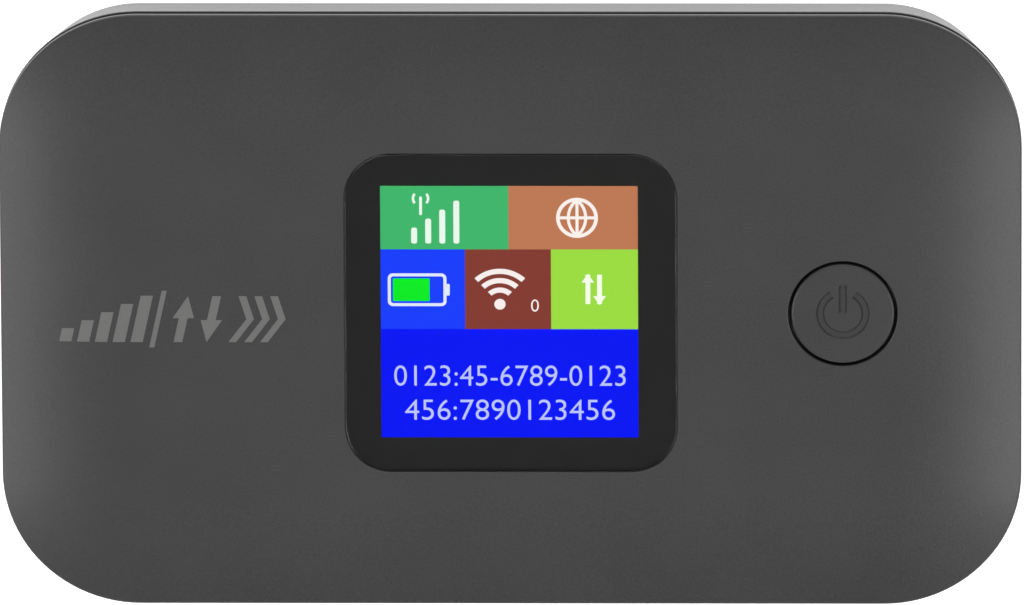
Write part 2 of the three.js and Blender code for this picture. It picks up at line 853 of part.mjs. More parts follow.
function simSocket() {
  const half = socketWidth / 2;
  return cut(
    solid(block(simX - half, simX + half, socketLower, socketUpper, socketUnder, rearPartTop)),
    block(
      simX - half + socketWall,
      simX + half - socketWall,
      socketLower - 1,
      socketUpper - socketWall,
      socketUnder + socketWall,
      bodyThickness,
    ),
  );
}

function simBase() {
  const half = socketWidth / 2 - socketWall - fitGap;
  const end = socketUpper - socketWall - fitGap;
  return solid(block(simX - half, simX + half, socketLower + fitGap, end, simBaseUnder, rearPartTop));
}

// A nano-size card with one cut corner.
function simCard() {
  const half = cardWidth / 2;
  const steps = 3;
  const outline = [
    new THREE.Vector2(simX + half - cardCorner, cardUpper),
    new THREE.Vector2(simX + half, cardUpper - cardCorner),
  ];
  const corners = [
    [simX + half - cardRadius, cardLower + cardRadius, 0],
    [simX - half + cardRadius, cardLower + cardRadius, -1],
    [simX - half + cardRadius, cardUpper - cardRadius, -2],
  ];
  for (const [x, y, quarter] of corners) {
    for (let i = 0; i <= steps; i++) {
      const angle = ((quarter - i / steps) * Math.PI) / 2;
      outline.push(new THREE.Vector2(x + cardRadius * Math.cos(angle), y + cardRadius * Math.sin(angle)));
    }
  }
  return solid(slab(outline, cardTop - cardThickness, cardTop));
}

// ---- Battery ----

function batteryPack() {
  const width = batteryRight - batteryLeft;
  const height = batteryUpper - batteryLower;
  const made = solid(
    roundedSlab(width, height, batteryRadius, skinUnder, batteryTop).translate(
      (batteryLeft + batteryRight) / 2,
      (batteryLower + batteryUpper) / 2,
      0,
    ),
  );
  const halfWidth = padWidth / 2 + fitGap;
  const low = contactMiddle - padHeight / 2 - fitGap;
  const high = contactMiddle + padHeight / 2 + fitGap;
  const recesses = contactPlaces.map((y) =>
    block(batteryRight - 2 * padThickness, batteryRight + 1, y - halfWidth, y + halfWidth, low, high),
  );
  return cut(made, ...recesses);
}

const batteryPad = (y) =>
  solid(
    block(
      batteryRight - 1.5 * padThickness,
      batteryRight - padThickness / 2,
      y - padWidth / 2,
      y + padWidth / 2,
      contactMiddle - padHeight / 2,
      contactMiddle + padHeight / 2,
    ),
  );

const connectorLeft = batteryRight + slideGap + bayWall + fitGap;

function batteryConnector() {
  const half = (contactCount * contactPitch) / 2 + fitGap;
  const rightSide = connectorLeft + batteryConnectorDepth;
  const low = skinTop + fitGap;
  return solid(block(connectorLeft, rightSide, contactY - half, contactY + half, low, rearPartTop));
}

// A bent spring strip whose nose reaches the battery's pad through the bay's wall.
function batteryContact(y) {
  const nose = batteryRight + fitGap;
  const root = connectorLeft - fitGap / 2;
  const half = contactHeight / 2;
  const innerHalf = half - contactThickness;
  const outline = [
    [root, -half],
    [nose, -contactThickness],
    [nose, contactThickness],
    [root, half],
    [root, innerHalf],
    [nose + contactThickness, contactThickness / 2],
    [nose + contactThickness, -contactThickness / 2],
    [root, -innerHalf],
  ].map(([x, z]) => new THREE.Vector2(x, contactMiddle + z));
  const geometry = slab(outline, -contactWidth / 2, contactWidth / 2);
  // The outline holds x and z, so a quarter turn about X stands it up along Y.
  return solid(geometry.rotateX(Math.PI / 2).translate(0, y, 0));
}

// ---- Screws ----

function chassisScrew(x, y) {
  const headUnder = screwSeat - screwHeadHeight;
  const round = screwHead / 4;
  const profile = [
    [0, headUnder],
    [screwHead - round, headUnder],
    [screwHead, headUnder + round],
    [screwHead, screwSeat - fitGap / 2],
    [screwShank, screwSeat - fitGap / 2],
    [screwShank, screwSeat + screwLength - screwShank],
    [0, screwSeat + screwLength],
  ];
  const turned = new THREE.LatheGeometry(
    profile.map(([r, z]) => new THREE.Vector2(r, z)),
    14,
  ).rotateX(Math.PI / 2);
  const arm = screwHead * 0.62;
  const slotHalf = screwHead * 0.14;
  const slotTop = headUnder + screwHeadHeight / 2;
  return cut(
    solid(turned),
    block(-arm, arm, -slotHalf, slotHalf, headUnder - 1, slotTop),
    block(-slotHalf, slotHalf, -arm, arm, headUnder - 1, slotTop),
  ).translate([x, y, 0]);
}

// ---- Assembly ----

add("back_cover", rearCover(), shellGrey);
add("front_cover", frontCover(), shellGrey);
add("chassis", chassis(), chassisBlack);

add("display_lens", displayLens(), lensBlack);
add("lens_tape", lensTape(), foamBlack);
add("display_foam", displayFoam(), foamBlack);
add("display_glass", displayGlass(), glassDark);
add("display_backlight", displayBacklight(), plasticWhite);
add("display_flex", displayFlex(), flexAmber);
add("flex_connector", flexConnector(), socketBlack);

add("main_board", mainBoard(), boardGreen);
const wifiLeft = -moduleLeft + 2 * slideGap;
const wifiRight = wifiLeft + wifiSize;
const wifiLower = keyRadius + flangeReach + 2 * slideGap;
const wifiUpper = wifiLower + wifiSize;
const frontShieldTop = frontPartUnder + shieldHeight;
add(
  "modem_shield",
  shieldCan(modemLeft, modemRight, -modemHalf, modemHalf, frontPartUnder, frontShieldTop, "down"),
  shieldSteel,
);
add(
  "wifi_shield",
  shieldCan(wifiLeft, wifiRight, wifiLower, wifiUpper, frontPartUnder, frontShieldTop, "down"),
  shieldSteel,
);
const powerHalf = powerShieldSize / 2;
const powerX = batteryLeft + powerShieldSize;
const rearShieldUnder = rearPartTop - rearPartHeight + 2 * fitGap;
const powerLeft = powerX - powerHalf;
const powerRight = powerX + powerHalf;
add(
  "power_shield",
  shieldCan(powerLeft, powerRight, -powerHalf, powerHalf, rearShieldUnder, rearPartTop, "up"),
  shieldSteel,
);
add("heat_pad", heatPad(), padGrey);
const modemX = (modemLeft + modemRight) / 2;
const modemChipY = (memoryChipHeight + chipGap) / 2;
const memoryChipY = -(modemChipSize + chipGap) / 2;
add("modem_chip", chip(modemX, modemChipY, modemChipSize, modemChipSize, frontPartUnder), socketBlack);
const memoryChip = chip(modemX, memoryChipY, memoryChipWidth, memoryChipHeight, frontPartUnder);
add("memory_chip", memoryChip, socketBlack);
add(
  "wifi_chip",
  chip(wifiLeft + wifiSize / 2, wifiLower + wifiSize / 2, wifiChipSize, wifiChipSize, frontPartUnder),
  socketBlack,
);
add(
  "power_chip",
  chip(powerX, 0, powerChipSize, powerChipSize, rearPartTop - chipThickness),
  socketBlack,
);

const antennaEdge = boardInset + fitGap;
const leftAntenna = 2 * (top - leftScrewY - collarRadius - slideGap);
const rightAntenna = 2 * (top - rightScrewY - collarRadius - slideGap);
const wifiAntennaY = top - antennaEdge - antennaTooth;
add("antenna_main", antenna(-right + antennaEdge, 0, leftAntenna, -1), shieldSteel);
add("antenna_diversity", antenna(right - antennaEdge, 0, rightAntenna, 1), shieldSteel);
add("antenna_wifi", antenna(wifiLeft + wifiAntenna / 2, wifiAntennaY, wifiAntenna, 0), shieldSteel);

add("power_button", powerKey(), shellGrey);
add(
  "power_switch",
  switchCase(
    keyX,
    0,
    switchSize,
    frontPartUnder,
    switchTop,
    switchTop - plungerSunk - keyTravel - fitGap,
    faceTop,
  ),
  socketBlack,
);
add(
  "power_plunger",
  solid(rod(keyX, 0, plungerRadius, switchTop - plungerSunk, nubUnder - fitGap, 16)),
  plasticWhite,
);

add("reset_button", resetKey(), chassisBlack);
add(
  "reset_switch",
  switchCase(
    resetX,
    portRowY,
    resetSwitchSize,
    resetSwitchUnder,
    rearPartTop,
    0,
    resetSwitchUnder + plungerSunk + resetTravel + fitGap,
  ),
  socketBlack,
);
add(
  "reset_plunger",
  solid(rod(resetX, portRowY, plungerRadius, resetPlungerUnder, resetSwitchUnder + plungerSunk, 16)),
  plasticWhite,
);

add("usb_shell", usbShell(), shieldSteel);
add("usb_tongue", usbTongue(), socketBlack);
add("sim_socket", simSocket(), shieldSteel);
add("sim_base", simBase(), socketBlack);
add("sim_card", simCard(), cardWhite);

add("battery_pack", batteryPack(), batteryGrey);
add("battery_connector", batteryConnector(), socketBlack);
contactPlaces.forEach((y, i) => {
  add(`battery_pad_${i + 1}`, batteryPad(y), gold);
  add(`battery_contact_${i + 1}`, batteryContact(y), gold);
});
screwPlaces.forEach(([x, y], i) => add(`chassis_screw_${i + 1}`, chassisScrew(x, y), screwSteel));

export default hotspot;
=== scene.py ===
import math

import bmesh
import bpy
from mathutils import Matrix, Vector


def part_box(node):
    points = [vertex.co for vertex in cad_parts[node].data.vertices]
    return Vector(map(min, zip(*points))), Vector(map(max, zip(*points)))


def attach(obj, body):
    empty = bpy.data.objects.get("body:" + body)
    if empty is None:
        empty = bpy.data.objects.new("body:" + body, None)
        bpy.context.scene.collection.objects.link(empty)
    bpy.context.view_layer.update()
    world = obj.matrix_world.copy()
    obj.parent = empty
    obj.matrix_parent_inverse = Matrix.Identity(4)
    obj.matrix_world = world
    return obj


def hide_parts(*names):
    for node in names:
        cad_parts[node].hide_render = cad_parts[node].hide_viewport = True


mm = 0.001
nearly = 0.01 * mm  # how close a corner lies to a level that it belongs to
weldGap = 0.0005 * mm
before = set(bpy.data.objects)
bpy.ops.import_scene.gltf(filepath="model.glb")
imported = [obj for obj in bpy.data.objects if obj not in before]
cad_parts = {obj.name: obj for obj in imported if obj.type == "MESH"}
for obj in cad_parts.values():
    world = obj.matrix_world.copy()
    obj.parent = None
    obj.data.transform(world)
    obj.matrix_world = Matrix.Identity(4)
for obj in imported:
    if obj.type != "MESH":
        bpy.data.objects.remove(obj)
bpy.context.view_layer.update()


def nodeBox(node):
    low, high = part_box(node)
    return Vector(low), Vector(high)


def middleOf(node):
    low, high = nodeBox(node)
    return (low + high) / 2


def sizeOf(node):
    low, high = nodeBox(node)
    return high - low


# camera

lookFrom = {"tilt": 17.0, "turn": 1.1, "roll": -0.28, "lens": 850, "frameWidth": 100.36 * mm,
            "lookAt": (0.06 * mm, 0.22 * mm, 11.0 * mm)}


def aimCamera():
    back = Vector((math.sin(math.radians(lookFrom["turn"])), math.sin(math.radians(lookFrom["tilt"])), 0))
    back.z = math.sqrt(1 - back.length_squared)
    right = Vector((0, 1, 0)).cross(back).normalized()
    up = back.cross(right)
    turn = Matrix((right, up, back)).transposed() @ Matrix.Rotation(math.radians(lookFrom["roll"]), 3, "Z")
    bpy.ops.object.camera_add()
    camera = bpy.context.object
    camera.data.sensor_width = 36
    camera.data.lens = lookFrom["lens"]
    distance = lookFrom["frameWidth"] * lookFrom["lens"] / 36
    camera.location = Vector(lookFrom["lookAt"]) + back * distance
    camera.rotation_mode = "QUATERNION"
    camera.rotation_quaternion = turn.to_quaternion()
    camera.data.clip_start = distance / 100
    camera.data.clip_end = distance * 3
    bpy.context.scene.camera = camera


bpy.ops.object.select_all(action="DESELECT")
aimCamera()
print("camera aimed")


# modelling helpers

def holdOnly(piece):
    if bpy.context.mode != "OBJECT":
        bpy.ops.object.mode_set(mode="OBJECT")
    bpy.ops.object.select_all(action="DESELECT")
    piece.select_set(True)
    bpy.context.view_layer.objects.active = piece


def settle(piece, name=None):
    # the piece's place goes into its mesh
    holdOnly(piece)
    bpy.ops.object.transform_apply(location=True, rotation=True, scale=True)
    if name:
        piece.name = name
        piece.data.name = name
    return piece


def openAll(piece):
    holdOnly(piece)
    bpy.ops.object.mode_set(mode="EDIT")
    bpy.ops.mesh.select_all(action="SELECT")


def linkNew(name, shape):
    piece = bpy.data.objects.new(name, shape)
    bpy.context.scene.collection.objects.link(piece)
    return piece


def pickEdges(piece, test):
    holdOnly(piece)
    bpy.ops.object.mode_set(mode="EDIT")
    bpy.ops.mesh.select_mode(type="EDGE")
    bpy.ops.mesh.select_all(action="DESELECT")
    shape = bmesh.from_edit_mesh(piece.data)
    for edge in shape.edges:
        if test(edge.verts[0].co, edge.verts[1].co, edge):
            edge.select_set(True)
    bmesh.update_edit_mesh(piece.data)


def roundEdges(piece, test, width, segments=3):
    pickEdges(piece, test)
    bpy.ops.mesh.bevel(offset=width, segments=segments, affect="EDGES", profile=0.5)
    bpy.ops.object.mode_set(mode="OBJECT")


def sharpEdge(edge):
    return len(edge.link_faces) == 2 and edge.calc_face_angle(0) > 0.6


def anySharp(a, b, edge):
    return sharpEdge(edge)


def sharpAbove(level):
    return lambda a, b, edge: sharpEdge(edge) and min(a.z, b.z) > level - nearly


def sharpBelow(level):
    return lambda a, b, edge: sharpEdge(edge) and max(a.z, b.z) < level + nearly


def closeEnds():
    # the open rims of the mesh in hand get faces
    bpy.ops.mesh.select_mode(type="EDGE")
    bpy.ops.mesh.select_all(action="DESELECT")
    bpy.ops.mesh.select_non_manifold()
    bpy.ops.mesh.edge_face_add()


def faceOut(piece):
    openAll(piece)
    bpy.ops.mesh.remove_doubles(threshold=weldGap)
    bpy.ops.mesh.normals_make_consistent(inside=False)
    bpy.ops.object.mode_set(mode="OBJECT")
    return piece


def growStack(name, middle, size, radius, start, steps, segments=24, down=False):
    # a round-cornered outline grown face by face: each step is (inwards, along)
    bpy.ops.mesh.primitive_plane_add(size=1, location=(middle[0], middle[1], start))
    piece = bpy.context.object
    piece.scale = (size[0], size[1], 1)
    settle(piece, name)
    bpy.ops.object.mode_set(mode="EDIT")
    bpy.ops.mesh.select_all(action="SELECT")
    bpy.ops.mesh.bevel(offset=radius, segments=segments, affect="VERTICES", profile=0.5)
    bpy.ops.mesh.select_mode(type="FACE")
    bpy.ops.mesh.select_all(action="SELECT")
    if down:
        bpy.ops.mesh.flip_normals()
    for inwards, along in steps:
        if inwards == 0:
            move = -along if down else along
            bpy.ops.mesh.extrude_region_move(TRANSFORM_OT_translate={"value": (0, 0, move)})
        else:
            bpy.ops.mesh.inset(thickness=inwards, depth=along)
    if steps[0][0] != 0:
        closeEnds()  # a first step that insets leaves the start open
    return faceOut(piece)


def roundRod(name, middle, radius, low, high, segments=96, edge=0):
    bpy.ops.mesh.primitive_cylinder_add(vertices=segments, radius=radius, depth=high - low,
                                        location=(middle[0], middle[1], (low + high) / 2))
    piece = settle(bpy.context.object, name)
    if edge:
        roundEdges(piece, anySharp, edge)
    return piece


def block(name, low, high, edge=0, segments=2):
    low, high = Vector(low), Vector(high)
    bpy.ops.mesh.primitive_cube_add(size=1, location=(low + high) / 2)
    piece = bpy.context.object
    piece.scale = high - low
    settle(piece, name)
    if edge:
        roundEdges(piece, anySharp, edge, segments)
    return piece


def combine(piece, other, operation):
    holdOnly(piece)
    work = piece.modifiers.new(operation, "BOOLEAN")
    work.operation = operation
    work.solver = "EXACT"
    work.object = other
    bpy.ops.object.modifier_apply(modifier=work.name)
    bpy.data.objects.remove(other)
    return piece


def carve(piece, *tools):
    for tool in tools:
        combine(piece, tool, "DIFFERENCE")
    return piece


def weld(piece, *others):
    for other in others:
        combine(piece, other, "UNION")
    return piece


def joinLoose(name, pieces):
    holdOnly(pieces[0])
    for piece in pieces:
        piece.select_set(True)
    bpy.ops.object.join()
    return settle(bpy.context.object, name)


def smooth(piece, angle=35):
    # the big flats keep their own normals beside small rounds
    holdOnly(piece)
    bpy.ops.object.shade_smooth_by_angle(angle=math.radians(angle))
    even = piece.modifiers.new("even", "WEIGHTED_NORMAL")
    even.keep_sharp = True
    even.weight = 100
    bpy.ops.object.modifier_apply(modifier=even.name)
    return piece


def finished(piece):
    return smooth(faceOut(piece), 30)


def camelName(node):
    first, *rest = node.split("_")
    return first + "".join(word.capitalize() for word in rest)


def refinedCopy(node, width, name=None):
    # a copy of a CAD solid with clean faces and soft edges
    piece = linkNew(name or camelName(node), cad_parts[node].data.copy())
    piece.data.materials.clear()
    openAll(piece)
    bpy.ops.mesh.remove_doubles(threshold=weldGap)
    bpy.ops.mesh.dissolve_limited(angle_limit=math.radians(0.5))
    bpy.ops.object.mode_set(mode="OBJECT")
    bevel = piece.modifiers.new("soften", "BEVEL")
    bevel.width = width
    bevel.segments = 2
    bevel.limit_method = "ANGLE"
    bevel.angle_limit = math.radians(35)
    bevel.miter_outer = "MITER_ARC"
    bpy.ops.object.modifier_apply(modifier=bevel.name)
    return smooth(piece)


def turnOver(piece, turn, place=(0, 0, 0)):
    piece.rotation_euler = [math.radians(t) for t in turn]
    piece.location = place
    return settle(piece)


# materials

def tint(code):
    # a screen colour such as 3FB36A as linear light
    parts = [int(code[i:i + 2], 16) / 255 for i in (0, 2, 4)]
    return [p / 12.92 if p <= 0.04045 else ((p + 0.055) / 1.055) ** 2.4 for p in parts] + [1]


def addNode(nodes, kind, **values):
    node = nodes.new("ShaderNode" + kind)
    for name, value in values.items():
        node.inputs[name].default_value = value
    return node


def mathNode(nodes, operation, fixed=()):
    # fixed holds (input number, value) pairs
    node = nodes.new("ShaderNodeMath")
    node.operation = operation
    for number, value in fixed:
        node.inputs[number].default_value = value
    return node


def join(links, *pairs):
    for source, target in pairs:
        links.new(source, target)


def startGroup(name, inputs, outputs):
    # a node group that reads a place and some values
    group = bpy.data.node_groups.new(name, "ShaderNodeTree")
    group.interface.new_socket(name="Place", in_out="INPUT", socket_type="NodeSocketVector")
    for socketName, value in inputs.items():
        socket = group.interface.new_socket(name=socketName, in_out="INPUT", socket_type="NodeSocketFloat")
        socket.default_value = value
    for socketName in outputs:
        group.interface.new_socket(name=socketName, in_out="OUTPUT", socket_type="NodeSocketFloat")
    inside = group.nodes.new("NodeGroupInput").outputs
    outside = group.nodes.new("NodeGroupOutput").inputs
    return group, group.nodes, group.links, inside, outside


def makeMouldGrain():
    # the fine spark-eroded skin of a moulding, and a faint cloudiness of its colour
    group, nodes, links, inside, outside = startGroup("mouldGrain", {"Grain": 6000, "Cloud": 90},
                                                      ["Height", "Tone"])
    grain = addNode(nodes, "TexNoise", Detail=3, Roughness=0.65)
    cloud = addNode(nodes, "TexNoise", Detail=2)
    blend = addNode(nodes, "Mix", Factor=0.3)
    join(links, (inside["Place"], grain.inputs["Vector"]), (inside["Place"], cloud.inputs["Vector"]),
         (inside["Grain"], grain.inputs["Scale"]), (inside["Cloud"], cloud.inputs["Scale"]),
         (grain.outputs["Fac"], blend.inputs["A"]), (cloud.outputs["Fac"], blend.inputs["B"]),
         (grain.outputs["Fac"], outside["Height"]), (blend.outputs["Result"], outside["Tone"]))
    return group


def makePixelGrid():
    # the dark lattice between the cells of a colour display
    group, nodes, links, inside, outside = startGroup("pixelGrid", {"Pitch": 0.2 * mm}, ["Light"])
    split = nodes.new("ShaderNodeSeparateXYZ")
    both = mathNode(nodes, "ADD")
    level = mathNode(nodes, "MULTIPLY_ADD", [(1, 0.012), (2, 1.0)])
    links.new(inside["Place"], split.inputs["Vector"])
    for number, axis in enumerate(("X", "Y")):
        turns = mathNode(nodes, "DIVIDE")
        phase = mathNode(nodes, "MULTIPLY", [(1, 2 * math.pi)])
        wave = mathNode(nodes, "COSINE")
        join(links, (split.outputs[axis], turns.inputs[0]), (inside["Pitch"], turns.inputs[1]),
             (turns.outputs["Value"], phase.inputs[0]), (phase.outputs["Value"], wave.inputs[0]),
             (wave.outputs["Value"], both.inputs[number]))
    join(links, (both.outputs["Value"], level.inputs[0]), (level.outputs["Value"], outside["Light"]))
    return group


def makeRolledSheet():
    # rolling marks on stamped sheet
    group, nodes, links, inside, outside = startGroup("rolledSheet", {"Fineness": 2500}, ["Height", "Streak"])
    stretch = addNode(nodes, "Mapping", Scale=(0.06, 1, 1))
    noise = addNode(nodes, "TexNoise", Detail=3)
    join(links, (inside["Place"], stretch.inputs["Vector"]), (inside["Fineness"], noise.inputs["Scale"]),
         (stretch.outputs["Vector"], noise.inputs["Vector"]), (noise.outputs["Fac"], outside["Height"]),
         (noise.outputs["Fac"], outside["Streak"]))
    return group


mouldGrain = makeMouldGrain()
pixelGrid = makePixelGrid()
rolledSheet = makeRolledSheet()


def startMaterial(name, group, **values):
    # a new material, its shader, and its pattern group placed by the piece's own coordinates
    material = bpy.data.materials.new(name)
    material.use_nodes = True
    nodes, links = material.node_tree.nodes, material.node_tree.links
    pattern = nodes.new("ShaderNodeGroup")
    pattern.node_tree = group
    for socketName, value in values.items():
        pattern.inputs[socketName].default_value = value
    links.new(nodes.new("ShaderNodeTexCoord").outputs["Object"], pattern.inputs["Place"])
    return material, nodes, links, nodes["Principled BSDF"].inputs, pattern.outputs


def colourFrom(nodes, links, value, low, high, shader):
    ramp = nodes.new("ShaderNodeValToRGB")
    for element, position, colour in zip(ramp.color_ramp.elements, (0.3, 0.7), (low, high)):
        element.position = position
        element.color = colour
    join(links, (value, ramp.inputs["Fac"]), (ramp.outputs["Color"], shader["Base Color"]))


def roughnessFrom(nodes, links, value, low, high, shader):
    spread = addNode(nodes, "MapRange", **{"To Min": low, "To Max": high})
    join(links, (value, spread.inputs["Value"]), (spread.outputs["Result"], shader["Roughness"]))


def reliefFrom(nodes, links, value, height, shader):
    relief = addNode(nodes, "Bump", Strength=1, Distance=height * mm)
    join(links, (value, relief.inputs["Height"]), (relief.outputs["Normal"], shader["Normal"]))


def plasticMaterial(name, colour, roughness, vary=0.06, grain=6000, bump=0.012, coat=0, gloss=0.5):
    material, nodes, links, shader, skin = startMaterial(name, mouldGrain, Grain=grain)
    low = [c * (1 - vary) for c in colour[:3]] + [1]
    high = [min(1, c * (1 + vary)) for c in colour[:3]] + [1]
    colourFrom(nodes, links, skin["Tone"], low, high, shader)
    roughnessFrom(nodes, links, skin["Tone"], roughness - 0.04, roughness + 0.04, shader)
    shader["Specular IOR Level"].default_value = gloss
    shader["Coat Weight"].default_value = coat
    shader["Coat Roughness"].default_value = 0.25
    reliefFrom(nodes, links, skin["Height"], bump, shader)
    return material


def metalMaterial(name, colour, roughness, fineness=2500, bump=0.004):
    material, nodes, links, shader, sheet = startMaterial(name, rolledSheet, Fineness=fineness)
    low = [c * 0.88 for c in colour[:3]] + [1]
    colourFrom(nodes, links, sheet["Streak"], low, colour, shader)
    roughnessFrom(nodes, links, sheet["Streak"], roughness - 0.06, roughness + 0.08, shader)
    shader["Metallic"].default_value = 1
    reliefFrom(nodes, links, sheet["Height"], bump, shader)
    return material


def litMaterial(name, colour):
    # a lit patch of the display
    material, nodes, links, shader, grid = startMaterial(name, pixelGrid)
    glow = nodes.new("ShaderNodeMix")
    glow.data_type = "RGBA"
    glow.blend_type = "MULTIPLY"
    glow.inputs["Factor"].default_value = 1
    glow.inputs["A"].default_value = colour
    join(links, (grid["Light"], glow.inputs["B"]), (glow.outputs["Result"], shader["Emission Color"]))
    shader["Emission Strength"].default_value = 1.15
    shader["Base Color"].default_value = (0.003, 0.003, 0.003, 1)
    shader["Roughness"].default_value = 0.6
    shader["Specular IOR Level"].default_value = 0
    return material


def clearMaterial(name, colour, roughness):
    material, nodes, links, shader, skin = startMaterial(name, mouldGrain, Grain=400)
    roughnessFrom(nodes, links, skin["Tone"], roughness, roughness + 0.01, shader)
    shader["Base Color"].default_value = colour
    shader["Transmission Weight"].default_value = 1
    shader["IOR"].default_value = 1.49
    return material


finishes = {
    "shell": plasticMaterial("greyShell", (0.034, 0.034, 0.0345, 1), 0.46, vary=0.3, grain=4500, bump=0.03,
                             coat=0.35),
    "chassis": plasticMaterial("blackChassis", (0.014, 0.014, 0.015, 1), 0.55, grain=4000, bump=0.02),
    "black": plasticMaterial("blackMoulding", (0.008, 0.008, 0.008, 1), 0.4, grain=3000),
    "chip": plasticMaterial("chipResin", (0.012, 0.012, 0.013, 1), 0.6, grain=5000, bump=0.01),
    "white": plasticMaterial("whiteMoulding", (0.72, 0.72, 0.69, 1), 0.4, vary=0.03),
    "print": plasticMaterial("greyPrint", (0.165, 0.165, 0.162, 1), 0.45, vary=0.08, grain=3000, bump=0.003),
    "ink": plasticMaterial("windowInk", (0.039, 0.039, 0.039, 1), 0.6, grain=3000, bump=0.001, gloss=0.05),
    "foam": plasticMaterial("blackFoam", (0.01, 0.01, 0.01, 1), 0.9, vary=0.3, grain=2500, bump=0.05),
    "pad": plasticMaterial("heatPad", (0.27, 0.31, 0.37, 1), 0.85, vary=0.1, grain=1500, bump=0.04),
    "board": plasticMaterial("solderMask", (0.008, 0.07, 0.032, 1), 0.35, vary=0.25, grain=1200, bump=0.015),
    "flex": plasticMaterial("amberFilm", (0.39, 0.13, 0.03, 1), 0.3, vary=0.12, grain=900, bump=0.006),
    "wrap": plasticMaterial("batteryWrap", (0.03, 0.031, 0.036, 1), 0.36, vary=0.08, grain=1500, bump=0.006),
    "label": plasticMaterial("batteryLabel", (0.42, 0.43, 0.44, 1), 0.5, vary=0.03, grain=2500, bump=0.004),
    "glass": plasticMaterial("displayGlass", (0.004, 0.006, 0.01, 1), 0.08, vary=0.2, grain=800, bump=0.0005),
    "steel": metalMaterial("stampedSteel", (0.6, 0.6, 0.58, 1), 0.3),
    "screw": metalMaterial("screwSteel", (0.42, 0.42, 0.41, 1), 0.34, fineness=5000),
    "gold": metalMaterial("goldPlate", (0.85, 0.58, 0.2, 1), 0.26, fineness=4000),
    "pane": clearMaterial("clearPane", (0.96, 0.96, 0.96, 1), 0.01),
}
print("materials made")


def place(piece, body, finish, slot, *nodes):
    if isinstance(finish, str):
        finish = finishes[finish]
    piece.data.materials.clear()
    piece.data.materials.append(finish)
    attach(piece, body)
    if nodes:
        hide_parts(*nodes)
    return piece


# front cover

frontLow, frontHigh = nodeBox("front_cover")
rearHigh = nodeBox("back_cover")[1]
paneLow = nodeBox("display_lens")[0]
paneMiddle, paneSize = middleOf("display_lens"), sizeOf("display_lens")
keyMiddle = middleOf("power_button")
bodySize = sizeOf("front_cover").xy
printRise = 0.012 * mm  # the printed mark stands this far above the face
faceTop = frontHigh.z - printRise
seamTop = frontHigh.z - 1.5 * mm
screwNodes = ["chassis_screw_%d" % (i + 1) for i in range(6)]

frontShell = {"corner": 13.5 * mm, "edge": 0.25 * mm, "crown": 12.5 * mm, "drop": 0.95 * mm, "wall": 1.5 * mm,
              "skirt": 2.3 * mm, "skirtWall": 0.9 * mm, "skirtInset": 1.833 * mm, "shoulder": 2.4 * mm,
              "windowGap": 0.12 * mm, "windowCorner": 4.6 * mm, "tapeRoom": 0.15 * mm,
              "aperture": (26.6 * mm, 27.4 * mm), "keyHole": 5.35 * mm, "keyRim": 0.13 * mm, "lip": 0.06 * mm,
              "post": 1.8 * mm, "collar": 2.7 * mm, "screwHole": 0.95 * mm, "fenceWall": 0.8 * mm}


def stepsBetween(levels):
    return [(b[0] - a[0], b[1] - a[1]) for a, b in zip(levels, levels[1:])]


def outlineAt(inset):
    # the size and corner of the body's outline, stepped in
    return bodySize - Vector((2, 2)) * inset, frontShell["corner"] - inset


def crownHeight(inwards):
    f = frontShell
    return faceTop - f["drop"] * (1 - min(1, inwards / f["crown"])) ** 2


def crownedSteps():
    # side wall, rounded edge, then the crown's rise to the flat middle
    f = frontShell
    edgeStart = crownHeight(f["edge"]) - f["edge"]
    levels = [(0, edgeStart)]
    for i in range(1, 7):
        angle = math.radians(82 * i / 6)
        levels.append((f["edge"] * (1 - math.cos(angle)), edgeStart + f["edge"] * math.sin(angle)))
    first = levels[-1][0]
    for i in range(1, 17):
        inwards = first + (f["crown"] - first) * i / 16
        levels.append((inwards, max(crownHeight(inwards), levels[-1][1])))
    return stepsBetween([(0, seamTop)] + levels)


def makeFrontShell():
    f = frontShell
    piece = growStack("frontShell", (0, 0), *outlineAt(0), seamTop, crownedSteps())
    roundEdges(piece, sharpBelow(seamTop), 0.12 * mm, 2)
    overlap, chamfer = 0.2 * mm, 0.25 * mm
    skirt = growStack("skirt", (0, 0), *outlineAt(f["skirtInset"]), seamTop + overlap,
                      [(0, f["skirt"] + overlap - chamfer), (chamfer, chamfer)], down=True)
    roof = faceTop - f["wall"]
    shoulderLow = roof - f["drop"]
    cavityLow = seamTop - f["skirt"] - 1 * mm
    rise = [(0, shoulderLow - cavityLow), (f["shoulder"], roof - shoulderLow)]
    cavity = growStack("cavity", (0, 0), *outlineAt(f["skirtInset"] + f["skirtWall"]), cavityLow, rise)
    carve(weld(piece, skirt), cavity)
    addFence(piece, roof)
    addPosts(piece, roof)
    # the window's recess opens out by a small lip at the surface
    lip = f["lip"]
    gap = f["windowGap"] + lip
    shelf = paneLow.z - f["tapeRoom"]
    recess = growStack("recess", paneMiddle, (paneSize.x + 2 * gap, paneSize.y + 2 * gap),
                       f["windowCorner"] + lip, faceTop + 0.5 * mm,
                       [(0, 0.5 * mm), (lip, lip), (0, faceTop - lip - shelf)], down=True)
    aperture = growStack("aperture", paneMiddle, f["aperture"], 0.8 * mm, roof - 1 * mm, [(0, 3 * mm)], 6)
    hole = roundRod("keyHole", keyMiddle, f["keyHole"], roof - 1 * mm, faceTop + 0.5 * mm, 128)
    carve(piece, recess, aperture, hole)

    def keyRim(a, b, e):
        out = [math.hypot(p.x - keyMiddle.x, p.y - keyMiddle.y) for p in (a, b)]
        return sharpEdge(e) and min(a.z, b.z) > faceTop - 0.3 * mm and max(out) < f["keyHole"] + nearly

    roundEdges(piece, keyRim, f["keyRim"], 3)
    return finished(piece)


